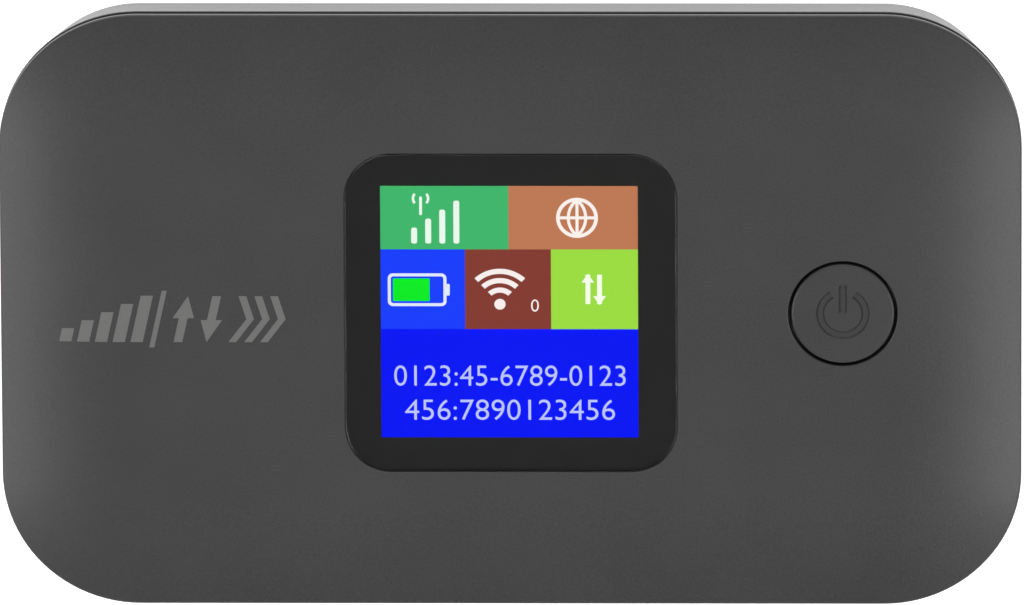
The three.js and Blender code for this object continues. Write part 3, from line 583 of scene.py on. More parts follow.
def addFence(piece, roof):
    # a low wall holds the display module, open where the flex leaves it
    middle, size = middleOf("display_backlight"), sizeOf("display_backlight")
    wall = frontShell["fenceWall"]
    inner = size.xy + Vector((0.2, 0.2)) * mm
    outer = inner + Vector((2, 2)) * wall
    fence = growStack("fence", middle, outer, wall, roof + 0.1 * mm,
                      [(0, 1.1 * mm), (0.15 * mm, 0.15 * mm)], 6, down=True)
    room = growStack("fenceRoom", middle, inner, 0.1 * mm, roof + 1 * mm, [(0, 3 * mm)], 2, down=True)
    flexLow, flexHigh = nodeBox("display_flex")
    gap = block("flexGap", (flexLow.x - mm, frontLow.y, roof - 3 * mm),
                (flexHigh.x + mm, middle.y, roof + 1 * mm))
    weld(piece, carve(carve(fence, room), gap))


def addPosts(piece, roof):
    f = frontShell
    boardLow, boardHigh = nodeBox("main_board")
    for node in screwNodes:
        at, high = middleOf(node), nodeBox(node)[1]
        collar = roundRod("collar", at, f["collar"], boardHigh.z + 0.1 * mm, roof + 0.1 * mm, 48)
        post = roundRod("post", at, f["post"], boardLow.z, roof, 48, 0.12 * mm)
        hole = roundRod("hole", at, f["screwHole"], boardLow.z - 1 * mm, high.z + 0.1 * mm, 32)
        carve(weld(piece, collar, post), hole)


place(makeFrontShell(), "main_unit", "shell", "shell_grey", "front_cover")
print("front cover made")


# rear cover

rearShell = {"lean": math.radians(11.6), "round": 2.8 * mm, "wall": 1.2 * mm, "floor": 1.2 * mm,
             "innerRound": 1.2 * mm, "lip": 0.2 * mm, "lipDrop": 0.7 * mm, "groove": 0.55 * mm,
             "plug": (12.2 * mm, 6 * mm), "mouthEdge": 0.25 * mm, "noseSize": (6 * mm, 0.6 * mm, 1.2 * mm),
             "noseZ": 6.2 * mm, "noseSide": 26 * mm, "notch": (12 * mm, 0.9 * mm), "notchFromCorner": 24 * mm}
lipTop = rearHigh.z - rearShell["lipDrop"]  # the step inside the groove stands above the lip


def leanInset(z):
    return (lipTop - z) * math.tan(rearShell["lean"])


def makeRearShell():
    r = rearShell
    lean, radius, top = r["lean"], r["round"], lipTop
    centreInset = radius * math.cos(lean) + leanInset(radius * (1 - math.sin(lean)))
    levels = [(0, 0)]
    for i in range(11):
        angle = lean + (math.pi / 2 - lean) * i / 10
        z = radius * (1 - math.sin(angle))
        levels.append((centreInset - radius * math.cos(angle), top - z))
    piece = growStack("rearShell", (0, 0), *outlineAt(0), top, stepsBetween(levels), down=True)
    across = r["wall"] / math.cos(lean)
    start = top + 1 * mm
    bend = r["floor"] + r["innerRound"]
    levels = [(0, 0), (leanInset(bend) - leanInset(start), start - bend)]
    for i in range(1, 6):
        angle = math.pi / 2 * i / 5
        levels.append((levels[1][0] + r["innerRound"] * (1 - math.cos(angle)),
                       start - bend + r["innerRound"] * math.sin(angle)))
    room = growStack("room", (0, 0), *outlineAt(across + leanInset(start)), start, stepsBetween(levels),
                     down=True)
    roundEdges(piece, sharpAbove(top), r["lip"], 3)
    step = growStack("step", (0, 0), *outlineAt(r["groove"]), top - 0.5 * mm,
                     [(0, rearHigh.z - top + 0.4 * mm), (0.1 * mm, 0.1 * mm)])
    carve(weld(piece, step), room)
    addNoses(piece, across)
    cutMouth(piece)
    cutNotch(piece)
    return finished(piece)


def addNoses(piece, across):
    r = rearShell
    width, reach, height = r["noseSize"]
    inset = leanInset(r["noseZ"]) + across
    half = bodySize / 2
    places = [(x, side, 1) for side in (1, -1) for x in (-r["noseSide"], 0, r["noseSide"]) if side > 0 or x]
    for along, side, axis in places + [(0, 1, 0), (0, -1, 0)]:
        # each nose reaches inwards along its axis, from just inside the wall
        ends = sorted([side * (half[axis] - inset + 0.5 * mm), side * (half[axis] - inset - reach)])
        low, high = Vector((0, 0, r["noseZ"])), Vector((0, 0, r["noseZ"] + height))
        low[axis], high[axis] = ends
        low[1 - axis], high[1 - axis] = along - width / 2, along + width / 2
        weld(piece, block("nose", low, high, 0.12 * mm))


def stadiumTool(name, size, nearY, farY, z, segments=16):
    tool = growStack(name, (0, 0), size, size[1] / 2 * 0.99, 0, [(0, farY - nearY)], segments)
    return turnOver(tool, (90, 0, 0), (0, farY, z))


def cutMouth(piece):
    r = rearShell
    z = middleOf("usb_shell").z
    outer = -bodySize.y / 2
    carve(piece, stadiumTool("mouth", r["plug"], outer - 1 * mm, outer + 6 * mm, z))
    half = Vector(r["plug"]) / 2

    def rim(a, b, e):
        near = all(abs(p.x) < half.x + 0.1 * mm and abs(p.z - z) < half.y + 0.1 * mm for p in (a, b))
        outside = all(p.y < outer + leanInset(p.z) + 0.1 * mm for p in (a, b))
        return near and outside and sharpEdge(e)

    roundEdges(piece, rim, r["mouthEdge"], 3)


def cutNotch(piece):
    r = rearShell
    width, depth = r["notch"]
    x = bodySize.x / 2 - r["notchFromCorner"]
    y = -bodySize.y / 2
    low = (x - width / 2, y - 1 * mm, lipTop - depth)
    high = (x + width / 2, y + r["groove"], rearHigh.z + 1 * mm)
    carve(piece, block("notch", low, high, 0.3 * mm, 4))


place(makeRearShell(), "rear_cover", "shell", "shell_grey", "back_cover")
print("rear cover made")


# window, ink and display picture

windowPane = {"edge": 0.05 * mm, "corner": 4.48 * mm, "inkHole": (25.2 * mm, 25.75 * mm),
              "inkShift": (-0.15 * mm, 0.0), "ink": 0.02 * mm}


def makePane():
    w = windowPane
    edge = w["edge"]
    piece = growStack("windowPane", paneMiddle, paneSize.xy, w["corner"], paneLow.z,
                      [(0, paneSize.z - edge), (edge * 0.3, edge * 0.7), (edge * 0.7, edge * 0.3)])
    return smooth(piece, 30)


def makeInk():
    w = windowPane
    low = paneLow.z - w["ink"] - 0.003 * mm
    piece = growStack("windowInk", paneMiddle, paneSize.xy - Vector((0.1, 0.1)) * mm, w["corner"], low,
                      [(0, w["ink"])])
    at = paneMiddle.xy + Vector(w["inkShift"])
    return carve(piece, growStack("inkHole", at, w["inkHole"], 0.05 * mm, low - 1 * mm, [(0, 3 * mm)], 2))


place(makePane(), "main_unit", "pane", "lens_black", "display_lens")
place(makeInk(), "main_unit", "ink", "lens_black")

# the picture: rows of tiles from the top, each with its share of the width and a colour
picture = {"tile": 0.02 * mm, "mark": 0.02 * mm, "air": 0.004 * mm, "overscan": 0.35}
tileRows = [
    {"height": 6.47, "tiles": [("Signal", 12.52, "3FB36A"), ("Network", 12.68, "BB7753")]},
    {"height": 8.16, "tiles": [("Battery", 8.24, "153CF8"), ("Wifi", 8.43, "813A30"),
                               ("Data", 8.53, "99DA40")]},
    {"height": 11.12, "tiles": [("Info", 25.2, "0112F3")]},
]
glassTop = nodeBox("display_glass")[1].z
pictureTop = paneMiddle.y + windowPane["inkHole"][1] / 2
pictureLeft = paneMiddle.x + windowPane["inkShift"][0] - windowPane["inkHole"][0] / 2
parallax = (paneLow.z - glassTop) * math.tan(math.radians(lookFrom["tilt"]))
tileFloor = glassTop + picture["air"]
markFloor = tileFloor + picture["tile"] + picture["air"]


def makeTiles():
    # the outer tiles run on past the ink's hole by the overscan
    y = pictureTop / mm - parallax / mm
    overscan = picture["overscan"]
    places = {}
    for number, row in enumerate(tileRows):
        x = pictureLeft / mm
        low = y - row["height"]
        for count, (name, width, colour) in enumerate(row["tiles"]):
            left = x - (overscan if count == 0 else 0)
            right = x + width + (overscan if count == len(row["tiles"]) - 1 else 0)
            top = y + (overscan if number == 0 else 0)
            bottom = low - (overscan if number == len(tileRows) - 1 else 0)
            tile = block("tile" + name, (left * mm, bottom * mm, tileFloor),
                         (right * mm, top * mm, tileFloor + picture["tile"]))
            place(tile, "main_unit", litMaterial("lit" + name, tint(colour)), "display_glass")
            places[name] = Vector((x, low, width, row["height"]))
            x += width
        y = low
    return places


def flatMark(name, points):
    # a flat outline in millimetres raised to the mark's thickness
    shape = bpy.data.meshes.new(name)
    shape.from_pydata([(x * mm, y * mm, markFloor) for x, y in points], [], [list(range(len(points)))])
    piece = linkNew(name, shape)
    openAll(piece)
    bpy.ops.mesh.normals_make_consistent(inside=False)
    bpy.ops.mesh.extrude_region_move(TRANSFORM_OT_translate={"value": (0, 0, picture["mark"])})
    return faceOut(piece)


def roundBar(name, left, low, width, height, radius=None):
    radius = min(width, height) / 2 * 0.98 if radius is None else radius
    return growStack(name, ((left + width / 2) * mm, (low + height / 2) * mm), (width * mm, height * mm),
                     radius * mm, markFloor, [(0, picture["mark"])], 6)


def arcBand(name, centre, inner, outer, start, end, steps=20):
    angles = [math.radians(start + (end - start) * i / steps) for i in range(steps + 1)]
    points = [(centre[0] + outer * math.cos(a), centre[1] + outer * math.sin(a)) for a in angles]
    points += [(centre[0] + inner * math.cos(a), centre[1] + inner * math.sin(a)) for a in reversed(angles)]
    return flatMark(name, points)


def writtenLine(name, words, middle, width, height):
    bpy.ops.object.text_add()
    line = bpy.context.object
    line.data.body = words
    line.data.align_x = "CENTER"
    line.data.align_y = "CENTER"
    line.data.extrude = 0.5
    line.data.offset = -0.006
    line.data.resolution_u = 4
    bpy.ops.object.convert(target="MESH")
    piece = bpy.context.object
    low = Vector([min(v.co[i] for v in piece.data.vertices) for i in range(3)])
    high = Vector([max(v.co[i] for v in piece.data.vertices) for i in range(3)])
    span = high - low
    scale = Vector((width * mm / span.x, height * mm / span.y, picture["mark"] / span.z))
    piece.data.transform(Matrix.Translation((middle[0] * mm, middle[1] * mm, markFloor + picture["mark"] / 2))
                         @ Matrix.Diagonal((*scale, 1)) @ Matrix.Translation(-(low + high) / 2))
    return faceOut(settle(piece, name))


def signalIcon(tile):
    # four bars growing to the right, with a small mast at their upper left
    left, low = tile.x + 3.0, tile.y + 0.6
    bars = [roundBar("bar", left + 1.38 * i, low, 0.58, 1.62 + 0.92 * i, 0.2) for i in range(4)]
    mast = [roundBar("mast", left + 0.8, low + 2.9, 0.28, 1.9, 0.12),
            arcBand("mastArc", (left + 0.94, low + 4.6), 0.62, 0.86, -40, 40),
            arcBand("mastArc", (left + 0.94, low + 4.6), 0.62, 0.86, 140, 220)]
    return joinLoose("signalIcon", bars + mast)


def networkIcon(tile):
    # a globe: ring, equator, middle meridian and two bowed ones
    cx, cy = tile.x + tile[2] * 0.53, tile.y + tile[3] * 0.5
    radius = 2.05
    parts = [arcBand("ring", (cx, cy), radius - 0.36, radius, 0, 350, 60),
             arcBand("ring", (cx, cy), radius - 0.36, radius, 345, 365, 6),
             roundBar("equator", cx - radius + 0.2, cy - 0.15, 2 * radius - 0.4, 0.3, 0.1),
             roundBar("meridian", cx - 0.15, cy - radius + 0.2, 0.3, 2 * radius - 0.4, 0.1)]
    bow = 2.4
    for side in (-1, 1):
        turn = 90 - side * 90
        parts.append(arcBand("bow", (cx - side * (bow - 0.85), cy), bow - 0.15, bow + 0.15, turn - 48,
                             turn + 48, 24))
    return joinLoose("networkIcon", parts)


def batteryIcon(tile):
    left, low, width, height = tile.x + 0.68, tile.y + 2.35, 5.75, 3.35
    outline = roundBar("batteryOutline", left, low, width, height, 0.5)
    room = roundBar("room", left + 0.3, low + 0.3, width - 0.6, height - 0.6, 0.25)
    room.scale.z = 3
    room.location.z = -2 * markFloor - picture["mark"] * 1.5
    carve(outline, settle(room))
    nub = roundBar("nub", left + width - 0.02, low + height / 2 - 0.6, 0.34, 1.2, 0.12)
    fill = roundBar("batteryFill", left + 0.5, low + 0.52, 3.6, height - 1.04, 0.06)
    return joinLoose("batteryOutline", [outline, nub]), fill


def wifiIcon(tile):
    cx, cy = tile.x + 3.42, tile.y + 2.55
    parts = [roundBar("dot", cx - 0.55, cy - 0.55, 1.1, 1.1)]
    for radius in (1.45, 2.42, 3.37):
        parts.append(arcBand("arc", (cx, cy), radius - 0.26, radius + 0.26, 47, 133, 28))
    return joinLoose("wifiIcon", parts)


def dataIcon(tile):
    cx, cy = tile.x + tile[2] * 0.49, tile.y + tile[3] * 0.5
    parts = []
    for side in (-1, 1):
        x = cx + side * 0.57
        parts.append(roundBar("shaft", x - 0.24, cy - 1.5, 0.48, 3.0, 0.05))
        tip, base = -side * 1.6, -side * 0.7
        parts.append(flatMark("head", [(x - 0.62, cy + base), (x + 0.62, cy + base), (x, cy + tip)]))
    return joinLoose("dataIcon", parts)


tiles = makeTiles()
info = tiles["Info"]
infoMiddle = info.x + info[2] / 2
batteryOutline, batteryFill = batteryIcon(tiles["Battery"])
whiteMarks = {
    "litMarkSignal": ([signalIcon(tiles["Signal"])], "E6F7EA"),
    "litMarkNetwork": ([networkIcon(tiles["Network"])], "F8EEE8"),
    "litMarkBattery": ([batteryOutline], "DDE6FB"),
    "litMarkWifi": ([wifiIcon(tiles["Wifi"]),
                     writtenLine("wifiCount", "0", tiles["Wifi"].xy + Vector((6.85, 2.42)), 0.78, 1.25)],
                    "F6ECEA"),
    "litMarkData": ([dataIcon(tiles["Data"])], "F2FAE4"),
    "litMarkInfo": ([writtenLine("infoUpper", "0123:45-6789-0123", (infoMiddle, info.y + 6.35), 22.7, 2.1),
                     writtenLine("infoLower", "456:7890123456", (infoMiddle, info.y + 2.85), 20.6, 2.1)],
                    "B9C3FB"),
}
for name, (marks, colour) in whiteMarks.items():
    lit = litMaterial(name, tint(colour))
    for mark in marks:
        place(mark, "main_unit", lit, "display_glass")
place(batteryFill, "main_unit", litMaterial("litFill", tint("05E921")), "display_glass")
print("window and display made")


# power key

powerKey = {"edge": 0.2 * mm, "cap": 5.05 * mm, "flange": 6.15 * mm, "flangeThick": 0.5 * mm, "nub": 1.5 * mm,
            "signDepth": 0.2 * mm, "signRadius": 2.62 * mm, "signStroke": 0.8 * mm, "signGap": 60,
            "signBar": 2.9 * mm, "signSlope": 0.16 * mm}


def signTool():
    # the broken ring and bar of the power sign, as one cutter with sloping sides
    k = powerKey
    inner, outer = k["signRadius"] - k["signStroke"], k["signRadius"]
    low, high = faceTop - k["signDepth"], faceTop + 0.3 * mm
    slope = k["signSlope"]
    profile = [(inner + slope, low), (outer - slope, low), (outer, faceTop), (outer, high), (inner, high),
               (inner, faceTop)]
    start = math.radians(90 - k["signGap"] / 2)
    shape = bpy.data.meshes.new("signRing")
    points = [(r * math.cos(start), r * math.sin(start), z) for r, z in profile]
    shape.from_pydata(points, [], [list(range(len(points)))])
    ring = linkNew("signRing", shape)
    openAll(ring)
    bpy.ops.mesh.spin(steps=64, angle=math.radians(360 - k["signGap"]), center=(0, 0, 0), axis=(0, 0, 1))
    bpy.ops.mesh.select_all(action="SELECT")
    bpy.ops.mesh.remove_doubles(threshold=weldGap)
    closeEnds()
    faceOut(ring)
    bar = growStack("signBar", (0, k["signBar"] / 2), (k["signStroke"], k["signBar"]), 0.15 * mm, high,
                    [(0, high - faceTop), (slope, k["signDepth"])], 4, down=True)
    for tool in (ring, bar):
        tool.location = (keyMiddle.x, keyMiddle.y, 0)
        settle(tool)
    return ring, bar


def makePowerKey():
    k = powerKey
    low, high = nodeBox("power_button")
    flangeTop = faceTop - frontShell["wall"] - 0.1 * mm
    flangeLow = flangeTop - k["flangeThick"]
    piece = roundRod("powerKey", keyMiddle, k["cap"], flangeTop - 0.2 * mm, high.z, 128)
    roundEdges(piece, sharpAbove(high.z), k["edge"], 4)
    flange = roundRod("flange", keyMiddle, k["flange"], flangeLow, flangeTop, 128, 0.08 * mm)
    nub = roundRod("nub", keyMiddle, k["nub"], low.z, flangeLow + 0.1 * mm, 48, 0.05 * mm)
    weld(piece, flange, nub)
    carve(piece, *signTool())
    return finished(piece)


place(makePowerKey(), "power_key", "shell", "shell_grey", "power_button")
print("power key made")


# printed mark on the face

faceMark = {"left": -44.4, "low": -3.5, "height": 5.8, "lean": 0.22, "thick": 0.02 * mm,
            "sunk": 0.008 * mm}


def slantedShape(name, points):
    # points run over the mark's own box, leaning to the right as they rise
    m = faceMark
    piece = flatMark(name, [(m["left"] + x + m["lean"] * y, m["low"] + y) for x, y in points])
    piece.scale.z = m["thick"] / picture["mark"]
    piece.location.z = faceTop - m["sunk"] - markFloor * m["thick"] / picture["mark"]
    return settle(piece)


def slantedBar(x, low, width, high):
    return slantedShape("bar", [(x, low), (x + width, low), (x + width, high), (x, high)])


def makeFaceMark():
    # rising bars, a stroke, two opposed arrows and three chevrons
    tall = faceMark["height"]
    parts = [slantedBar(1.75 * i, 0.55, 1.2, 1.9 + 0.85 * i) for i in range(5)]
    parts.append(slantedBar(8.95, 0, 0.5, tall))
    for x, up in ((10.6, 1), (13.4, -1)):
        ends = [0.55, 3.0, 5.25] if up > 0 else [5.25, 2.8, 0.55]
        parts.append(slantedShape("arrow", [(x + 0.62, ends[0]), (x + 1.48, ends[0]), (x + 1.48, ends[1]),
                                            (x + 2.1, ends[1]), (x + 1.05, ends[2]), (x, ends[1]),
                                            (x + 0.62, ends[1])]))
    for i in range(3):
        x = 16.6 + 1.55 * i
        parts.append(slantedShape("chevron", [(x, 0.55), (x + 0.75, 0.55), (x + 2.0, 2.9), (x + 0.75, 5.25),
                                              (x, 5.25), (x + 1.25, 2.9)]))
    mark = joinLoose("faceMark", parts)
    for vertex in mark.data.vertices:  # the print follows the crowned face
        vertex.co.z += crownHeight(bodySize.x / 2 - abs(vertex.co.x)) - faceTop
    return mark


place(makeFaceMark(), "main_unit", "print", "shell_grey")
print("face mark made")


# charging socket

chargingSocket = {"wall": 0.3 * mm, "lip": 0.08 * mm, "contacts": 12, "pitch": 0.5 * mm,
                  "contactWidth": 0.24 * mm}


def makeSocketCan():
    c = chargingSocket
    low, high = nodeBox("usb_shell")
    z, size = middleOf("usb_shell").z, sizeOf("usb_shell").xz
    can = stadiumTool("usbCan", size, low.y, high.y, z)
    inner = size - Vector((2, 2)) * c["wall"]
    carve(can, stadiumTool("room", inner, low.y - 1 * mm, high.y - 0.4 * mm, z))
    roundEdges(can, lambda a, b, e: sharpEdge(e) and max(a.y, b.y) < low.y + nearly, c["lip"], 2)
    return finished(can)


def makeTongue():
    c = chargingSocket
    tongue = refinedCopy("usb_tongue", 0.08 * mm)
    front, z = nodeBox("usb_tongue")[0].y, middleOf("usb_tongue").z
    half = c["contactWidth"] / 2
    strips = []
    for side in (1, -1):
        surface = z + side * 0.35 * mm
        for i in range(c["contacts"]):
            x = (i - (c["contacts"] - 1) / 2) * c["pitch"]
            strips.append(block("contact", (x - half, front + 0.45 * mm, surface - 0.015 * mm),
                                (x + half, front + 4.2 * mm, surface + 0.02 * mm)))
    return tongue, joinLoose("usbContacts", strips)


place(makeSocketCan(), "main_unit", "steel", "shield_steel", "usb_shell")
tongue, contacts = makeTongue()
place(tongue, "main_unit", "black", "socket_black", "usb_tongue")
place(contacts, "main_unit", "gold", "contact_gold")
print("charging socket made")


# chassis, screws and reset key

place(refinedCopy("chassis", 0.12 * mm, "innerChassis"), "main_unit", "chassis", "chassis_black", "chassis")

screwShape = {"head": 1.5 * mm, "headHeight": 0.75 * mm, "shank": 0.8 * mm, "recess": 0.4 * mm,
              "recessDepth": 0.45 * mm, "edge": 0.18 * mm, "turn": 37}


def makeScrew(node, number):
    k = screwShape
    at, (low, high) = middleOf(node), nodeBox(node)
    seat = low.z + k["headHeight"]
    piece = roundRod("screw", at, k["head"], low.z, seat, 64)
    roundEdges(piece, sharpBelow(low.z), k["edge"], 4)
    shank = roundRod("shank", at, k["shank"], seat - 0.1 * mm, high.z, 32)
    roundEdges(shank, sharpAbove(high.z), 0.3 * mm, 2)
    weld(piece, shank)
    for quarter in (0, 90):
        arm = growStack("arm", (0, 0), (k["head"] * 1.15, k["recess"]), 0.12 * mm, low.z - 0.2 * mm,
                        [(0, 0.2 * mm), (0.1 * mm, k["recessDepth"])], 3)
        carve(piece, turnOver(arm, (0, 0, k["turn"] * number + quarter), (at.x, at.y, 0)))
    return finished(piece)


for number, node in enumerate(screwNodes):
    screw = makeScrew(node, number)
    screw.name = camelName(node)
    place(screw, "main_unit", "screw", "screw_steel", node)


def makeResetKey():
    at, (low, high) = middleOf("reset_button"), nodeBox("reset_button")
    piece = roundRod("resetKey", at, 1 * mm, low.z, high.z, 48, 0.15 * mm)
    flangeLow = nodeBox("chassis")[0].z + 1.1 * mm
    weld(piece, roundRod("flange", at, 1.7 * mm, flangeLow, flangeLow + 0.6 * mm, 48, 0.1 * mm))
    return finished(piece)


place(makeResetKey(), "reset_key", "black", "chassis_black", "reset_button")
print("chassis made")


# battery

batteryPack = {"corner": 2.5 * mm, "edge": 0.6 * mm, "labelInset": 1.2 * mm, "label": 0.06 * mm,
               "cap": 5 * mm}


def makeBattery():
    b = batteryPack
    middle, size = middleOf("battery_pack"), sizeOf("battery_pack").xy
    low, high = nodeBox("battery_pack")
    edge = b["edge"]
    # the wrap stops short of the node's lower face so that the label lies within it
    bottom, top = low.z + b["label"], high.z
    curve = [(0.0, 0.0)]
    for i in range(1, 6):
        angle = math.pi / 2 * i / 5
        curve.append((edge * (1 - math.cos(angle)), edge * math.sin(angle)))
    steps = [(0, (top - bottom) / 2 - edge)] + stepsBetween(curve)
    halves = [growStack("half", middle, size, b["corner"], (bottom + top) / 2, steps, 10, down=down)
              for down in (False, True)]
    can = weld(*halves)
    can.name = "batteryCan"
    recesses = []
    for i in (1, 2, 3):
        padLow, padHigh = nodeBox("battery_pad_%d" % i)
        recesses.append(block("recess", (padLow.x - 0.06 * mm, padLow.y - 0.1 * mm, padLow.z - 0.1 * mm),
                              (high.x + 1 * mm, padHigh.y + 0.1 * mm, padHigh.z + 0.1 * mm)))
    carve(can, *recesses)
    seam = high.x - b["cap"]
    ring = block("seam", (seam, low.y - mm, low.z - mm), (seam + 0.15 * mm, high.y + mm, high.z + mm))
    core = growStack("core", middle, size - Vector((0.2, 0.2)) * mm, b["corner"], bottom + 0.08 * mm,
                     [(0, top - bottom - 0.16 * mm)], 10)
    carve(can, carve(ring, core))
    return finished(can)


def makeLabel():
    b = batteryPack
    low, high = nodeBox("battery_pack")
    inset = b["labelInset"]
    left, right = low.x + inset, high.x - b["cap"] - inset
    middle = ((left + right) / 2, (low.y + high.y) / 2)
    size = (right - left, high.y - low.y - 2 * inset)
    return growStack("batteryLabel", middle, size, 1.2 * mm, low.z + b["label"] - 0.005 * mm,
                     [(0, b["label"] - 0.02 * mm)], 8, down=True)


place(makeBattery(), "battery", "wrap", "battery_wrap", "battery_pack")
place(makeLabel(), "battery", "label", "battery_wrap")
for i in (1, 2, 3):
    for node, body, width in (("battery_pad_%d" % i, "battery", 0.02),
                              ("battery_contact_%d" % i, "main_unit", 0.03)):
        place(refinedCopy(node, width * mm), body, "gold", "contact_gold", node)
print("battery made")


# card and its socket

def makeCard():
    low, high = nodeBox("sim_card")
    card = refinedCopy("sim_card", 0.05 * mm)
    parts = []
    for column in range(2):
        for row in range(3):
            x = low.x + 1.4 * mm + column * 3.3 * mm
            y = low.y + 2.2 * mm + row * 2.6 * mm
            parts.append(growStack("padPlate", (x + 1.35 * mm, y + 1.1 * mm), (2.7 * mm, 2.2 * mm), 0.35 * mm,
                                   high.z - 0.005 * mm, [(0, 0.02 * mm)], 4))
    return card, joinLoose("simContacts", parts)


card, cardContacts = makeCard()
place(card, "sim", "white", "card_white", "sim_card")
place(cardContacts, "sim", "gold", "contact_gold")


def makeCage():
    cage = refinedCopy("sim_socket", 0.04 * mm, "simCage")
    middle, (low, high) = middleOf("sim_socket"), nodeBox("sim_socket")
    for at, size, corner, segments in (((middle.x - 3 * mm, middle.y), (1.4 * mm, 6 * mm), 0.5 * mm, 4),
                                       ((middle.x + 3 * mm, middle.y), (1.4 * mm, 6 * mm), 0.5 * mm, 4),
                                       ((middle.x, high.y - 2.6 * mm), (2.2 * mm, 2.2 * mm), 1 * mm, 8)):
        carve(cage, growStack("slot", at, size, corner, low.z - 1 * mm, [(0, 1.3 * mm)], segments))
    return smooth(cage, 30)


place(makeCage(), "main_unit", "steel", "shield_steel", "sim_socket")
print("card made")


# inner parts that keep their CAD shape, with soft edges: node, softening in millimetres, finish

innerParts = [
    ("lens_tape", 0.02, "foam"),
    ("display_foam", 0.03, "foam"),
    ("display_glass", 0.03, "glass", "displayGlassSheets"),
    ("display_backlight", 0.1, "white"),
    ("display_flex", 0.02, "flex"),
    ("flex_connector", 0.08, "black"),
    ("main_board", 0.04, "board"),
    ("modem_shield", 0.08, "steel"),
    ("wifi_shield", 0.08, "steel"),
    ("power_shield", 0.08, "steel"),
    ("heat_pad", 0.15, "pad"),
    ("modem_chip", 0.06, "chip"),
    ("memory_chip", 0.06, "chip"),
    ("wifi_chip", 0.06, "chip"),
    ("power_chip", 0.06, "chip"),
    ("antenna_main", 0.04, "steel"),
    ("antenna_diversity", 0.04, "steel"),
    ("antenna_wifi", 0.04, "steel"),
    ("power_switch", 0.08, "black"),
    ("power_plunger", 0.1, "white"),
    ("reset_switch", 0.08, "black"),
    ("reset_plunger", 0.1, "white"),
    ("sim_base", 0.04, "black"),
    ("battery_connector", 0.12, "black"),
]
innerSlots = {"foam": "foam_black", "glass": "display_glass", "white": "plastic_white", "flex": "flex_amber",
              "black": "socket_black", "board": "board_green", "steel": "shield_steel", "pad": "pad_grey",
              "chip": "socket_black"}
for node, width, finish, *name in innerParts:
    body = node if node.endswith("plunger") else "main_unit"
    place(refinedCopy(node, width * mm, *name), body, finish, innerSlots[finish], node)


# small parts soldered to the board's two sides: (x, y, length, width) in millimetres
boardParts = {
    "upper": [(-12, 20, 1.6, 0.8), (-9, 20, 1.6, 0.8), (-6, 20, 1.6, 0.8), (5, 21, 2, 1.2), (9, 21, 2, 1.2),
              (38, 12, 1.6, 0.8), (38, 10, 1.6, 0.8), (38, 14, 1.6, 0.8), (24, -12, 3, 2.5),
              (29, -12, 1.6, 0.8), (29, -14, 1.6, 0.8), (24, -16, 2, 1.2), (36, -14, 3, 3),
              (-42, 0, 1.2, 0.6), (-42, 2, 1.2, 0.6)],
    "lower": [(33, -9, 1.6, 0.8), (36, -9, 1.6, 0.8), (39, -9, 1.6, 0.8), (33, -11, 1.6, 0.8),
              (36, -11, 2, 1.2), (-10, -21, 2, 1.2), (10, -21, 2, 1.2)],
}


solderShape = {"tallest": 0.9, "rise": 0.8, "lift": 0.005, "end": 0.22, "step": 0.03, "overlap": 0.02}


def solderedPart(x, y, length, width, level, side):
    # a chip body between two tinned ends, standing out from the board on its side
    k = solderShape
    height = min(width, k["tallest"]) * k["rise"]
    low, high = sorted([level + side * k["lift"], level + side * (k["lift"] + height)])
    left, right, end = x - length / 2, x + length / 2, length * k["end"]

    def slab(name, start, stop, inset, edge):
        return block(name, (start * mm, (y - width / 2 + inset) * mm, low * mm),
                     (stop * mm, (y + width / 2 - inset) * mm, high * mm), edge * mm, 1)

    return (slab("partBody", left + end, right - end, k["step"], 0.03),
            slab("partEnd", left, left + end + k["overlap"], 0, 0.05),
            slab("partEnd", right - end - k["overlap"], right, 0, 0.05))


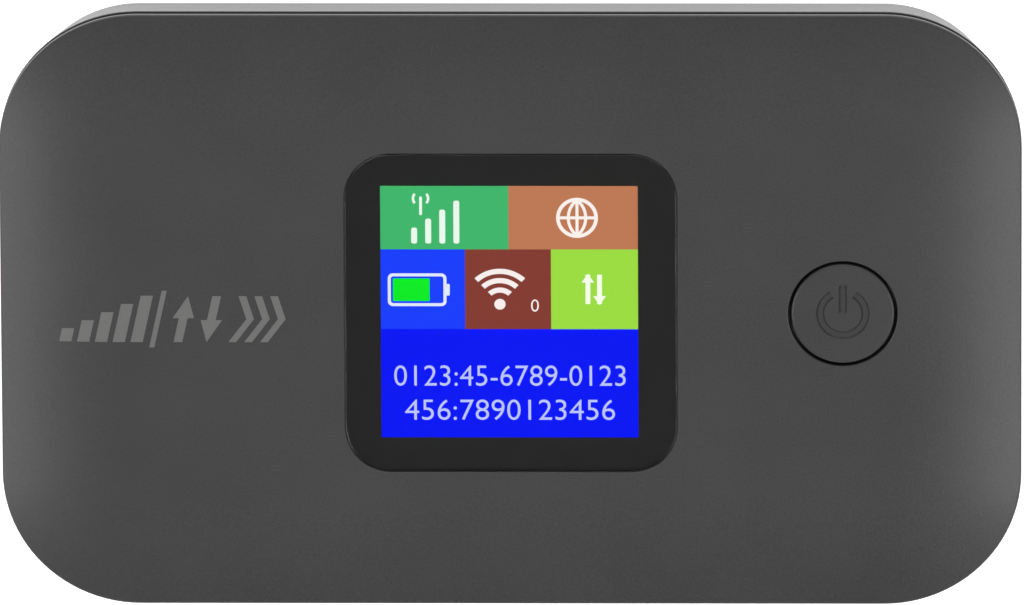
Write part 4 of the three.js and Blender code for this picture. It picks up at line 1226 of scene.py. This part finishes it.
boardLow, boardHigh = nodeBox("main_board")
for side, key, level in ((1, "upper", boardHigh.z / mm), (-1, "lower", boardLow.z / mm)):
    bodies, ends = [], []
    for x, y, length, width in boardParts[key]:
        body, *pair = solderedPart(x, y, length, width, level, side)
        bodies.append(body)
        ends.extend(pair)
    place(joinLoose(key + "PartBodies", bodies), "main_unit", "chip", "socket_black")
    place(joinLoose(key + "PartEnds", ends), "main_unit", "steel", "shield_steel")
print("inner parts made")


# table, light and surroundings

studio = {"floor": (0.9, 0.9, 0.9, 1), "glow": 0.85, "floorSize": 8, "world": (0.05, 0.05, 0.05, 1)}
lamps = [
    {"name": "leftBox", "at": (-0.57, -0.33, 1.1), "size": (0.4, 0.45), "power": 3.25},
    {"name": "rightBox", "at": (0.48, -0.34, 1.1), "size": (0.4, 0.4), "power": 3.3},
    {"name": "leftCorner", "at": (-0.95, -0.05, 0.9), "size": (0.3, 0.3), "power": 1.0},
    {"name": "leftFill", "at": (-1.7, 0, 0.9), "size": (1.6, 1.6), "power": 11},
    {"name": "rightFill", "at": (1.7, 0, 0.9), "size": (1.6, 1.6), "power": 11},
    {"name": "frontFill", "at": (0, -1.8, 0.6), "size": (2.4, 1.0), "power": 11},
    {"name": "backFill", "at": (0, 1.8, 0.85), "size": (3.0, 1.4), "power": 21},
]


def makeStudio():
    bpy.ops.mesh.primitive_plane_add(size=studio["floorSize"])
    floor = bpy.context.object
    floor.location.z = -0.02 * mm
    settle(floor, "tableTop")
    pale = plasticMaterial("paleTable", studio["floor"], 0.8, vary=0.01, grain=300, bump=0.01)
    skin = pale.node_tree.nodes["Principled BSDF"].inputs
    skin["Emission Color"].default_value = (1, 1, 1, 1)
    skin["Emission Strength"].default_value = studio["glow"]
    floor.data.materials.append(pale)
    for lamp in lamps:
        bpy.ops.object.light_add(type="AREA", location=lamp["at"])
        light = bpy.context.object
        light.name = lamp["name"]
        light.data.shape = "RECTANGLE"
        light.data.size, light.data.size_y = lamp["size"]
        light.data.energy = lamp["power"]
        light.rotation_euler = (-Vector(lamp["at"])).to_track_quat("-Z", "Y").to_euler()
    world = bpy.data.worlds.new("studio")
    world.use_nodes = True
    world.node_tree.nodes["Background"].inputs["Color"].default_value = studio["world"]
    bpy.context.scene.world = world
    bpy.context.scene.view_settings.view_transform = "Standard"


makeStudio()
print("studio made")
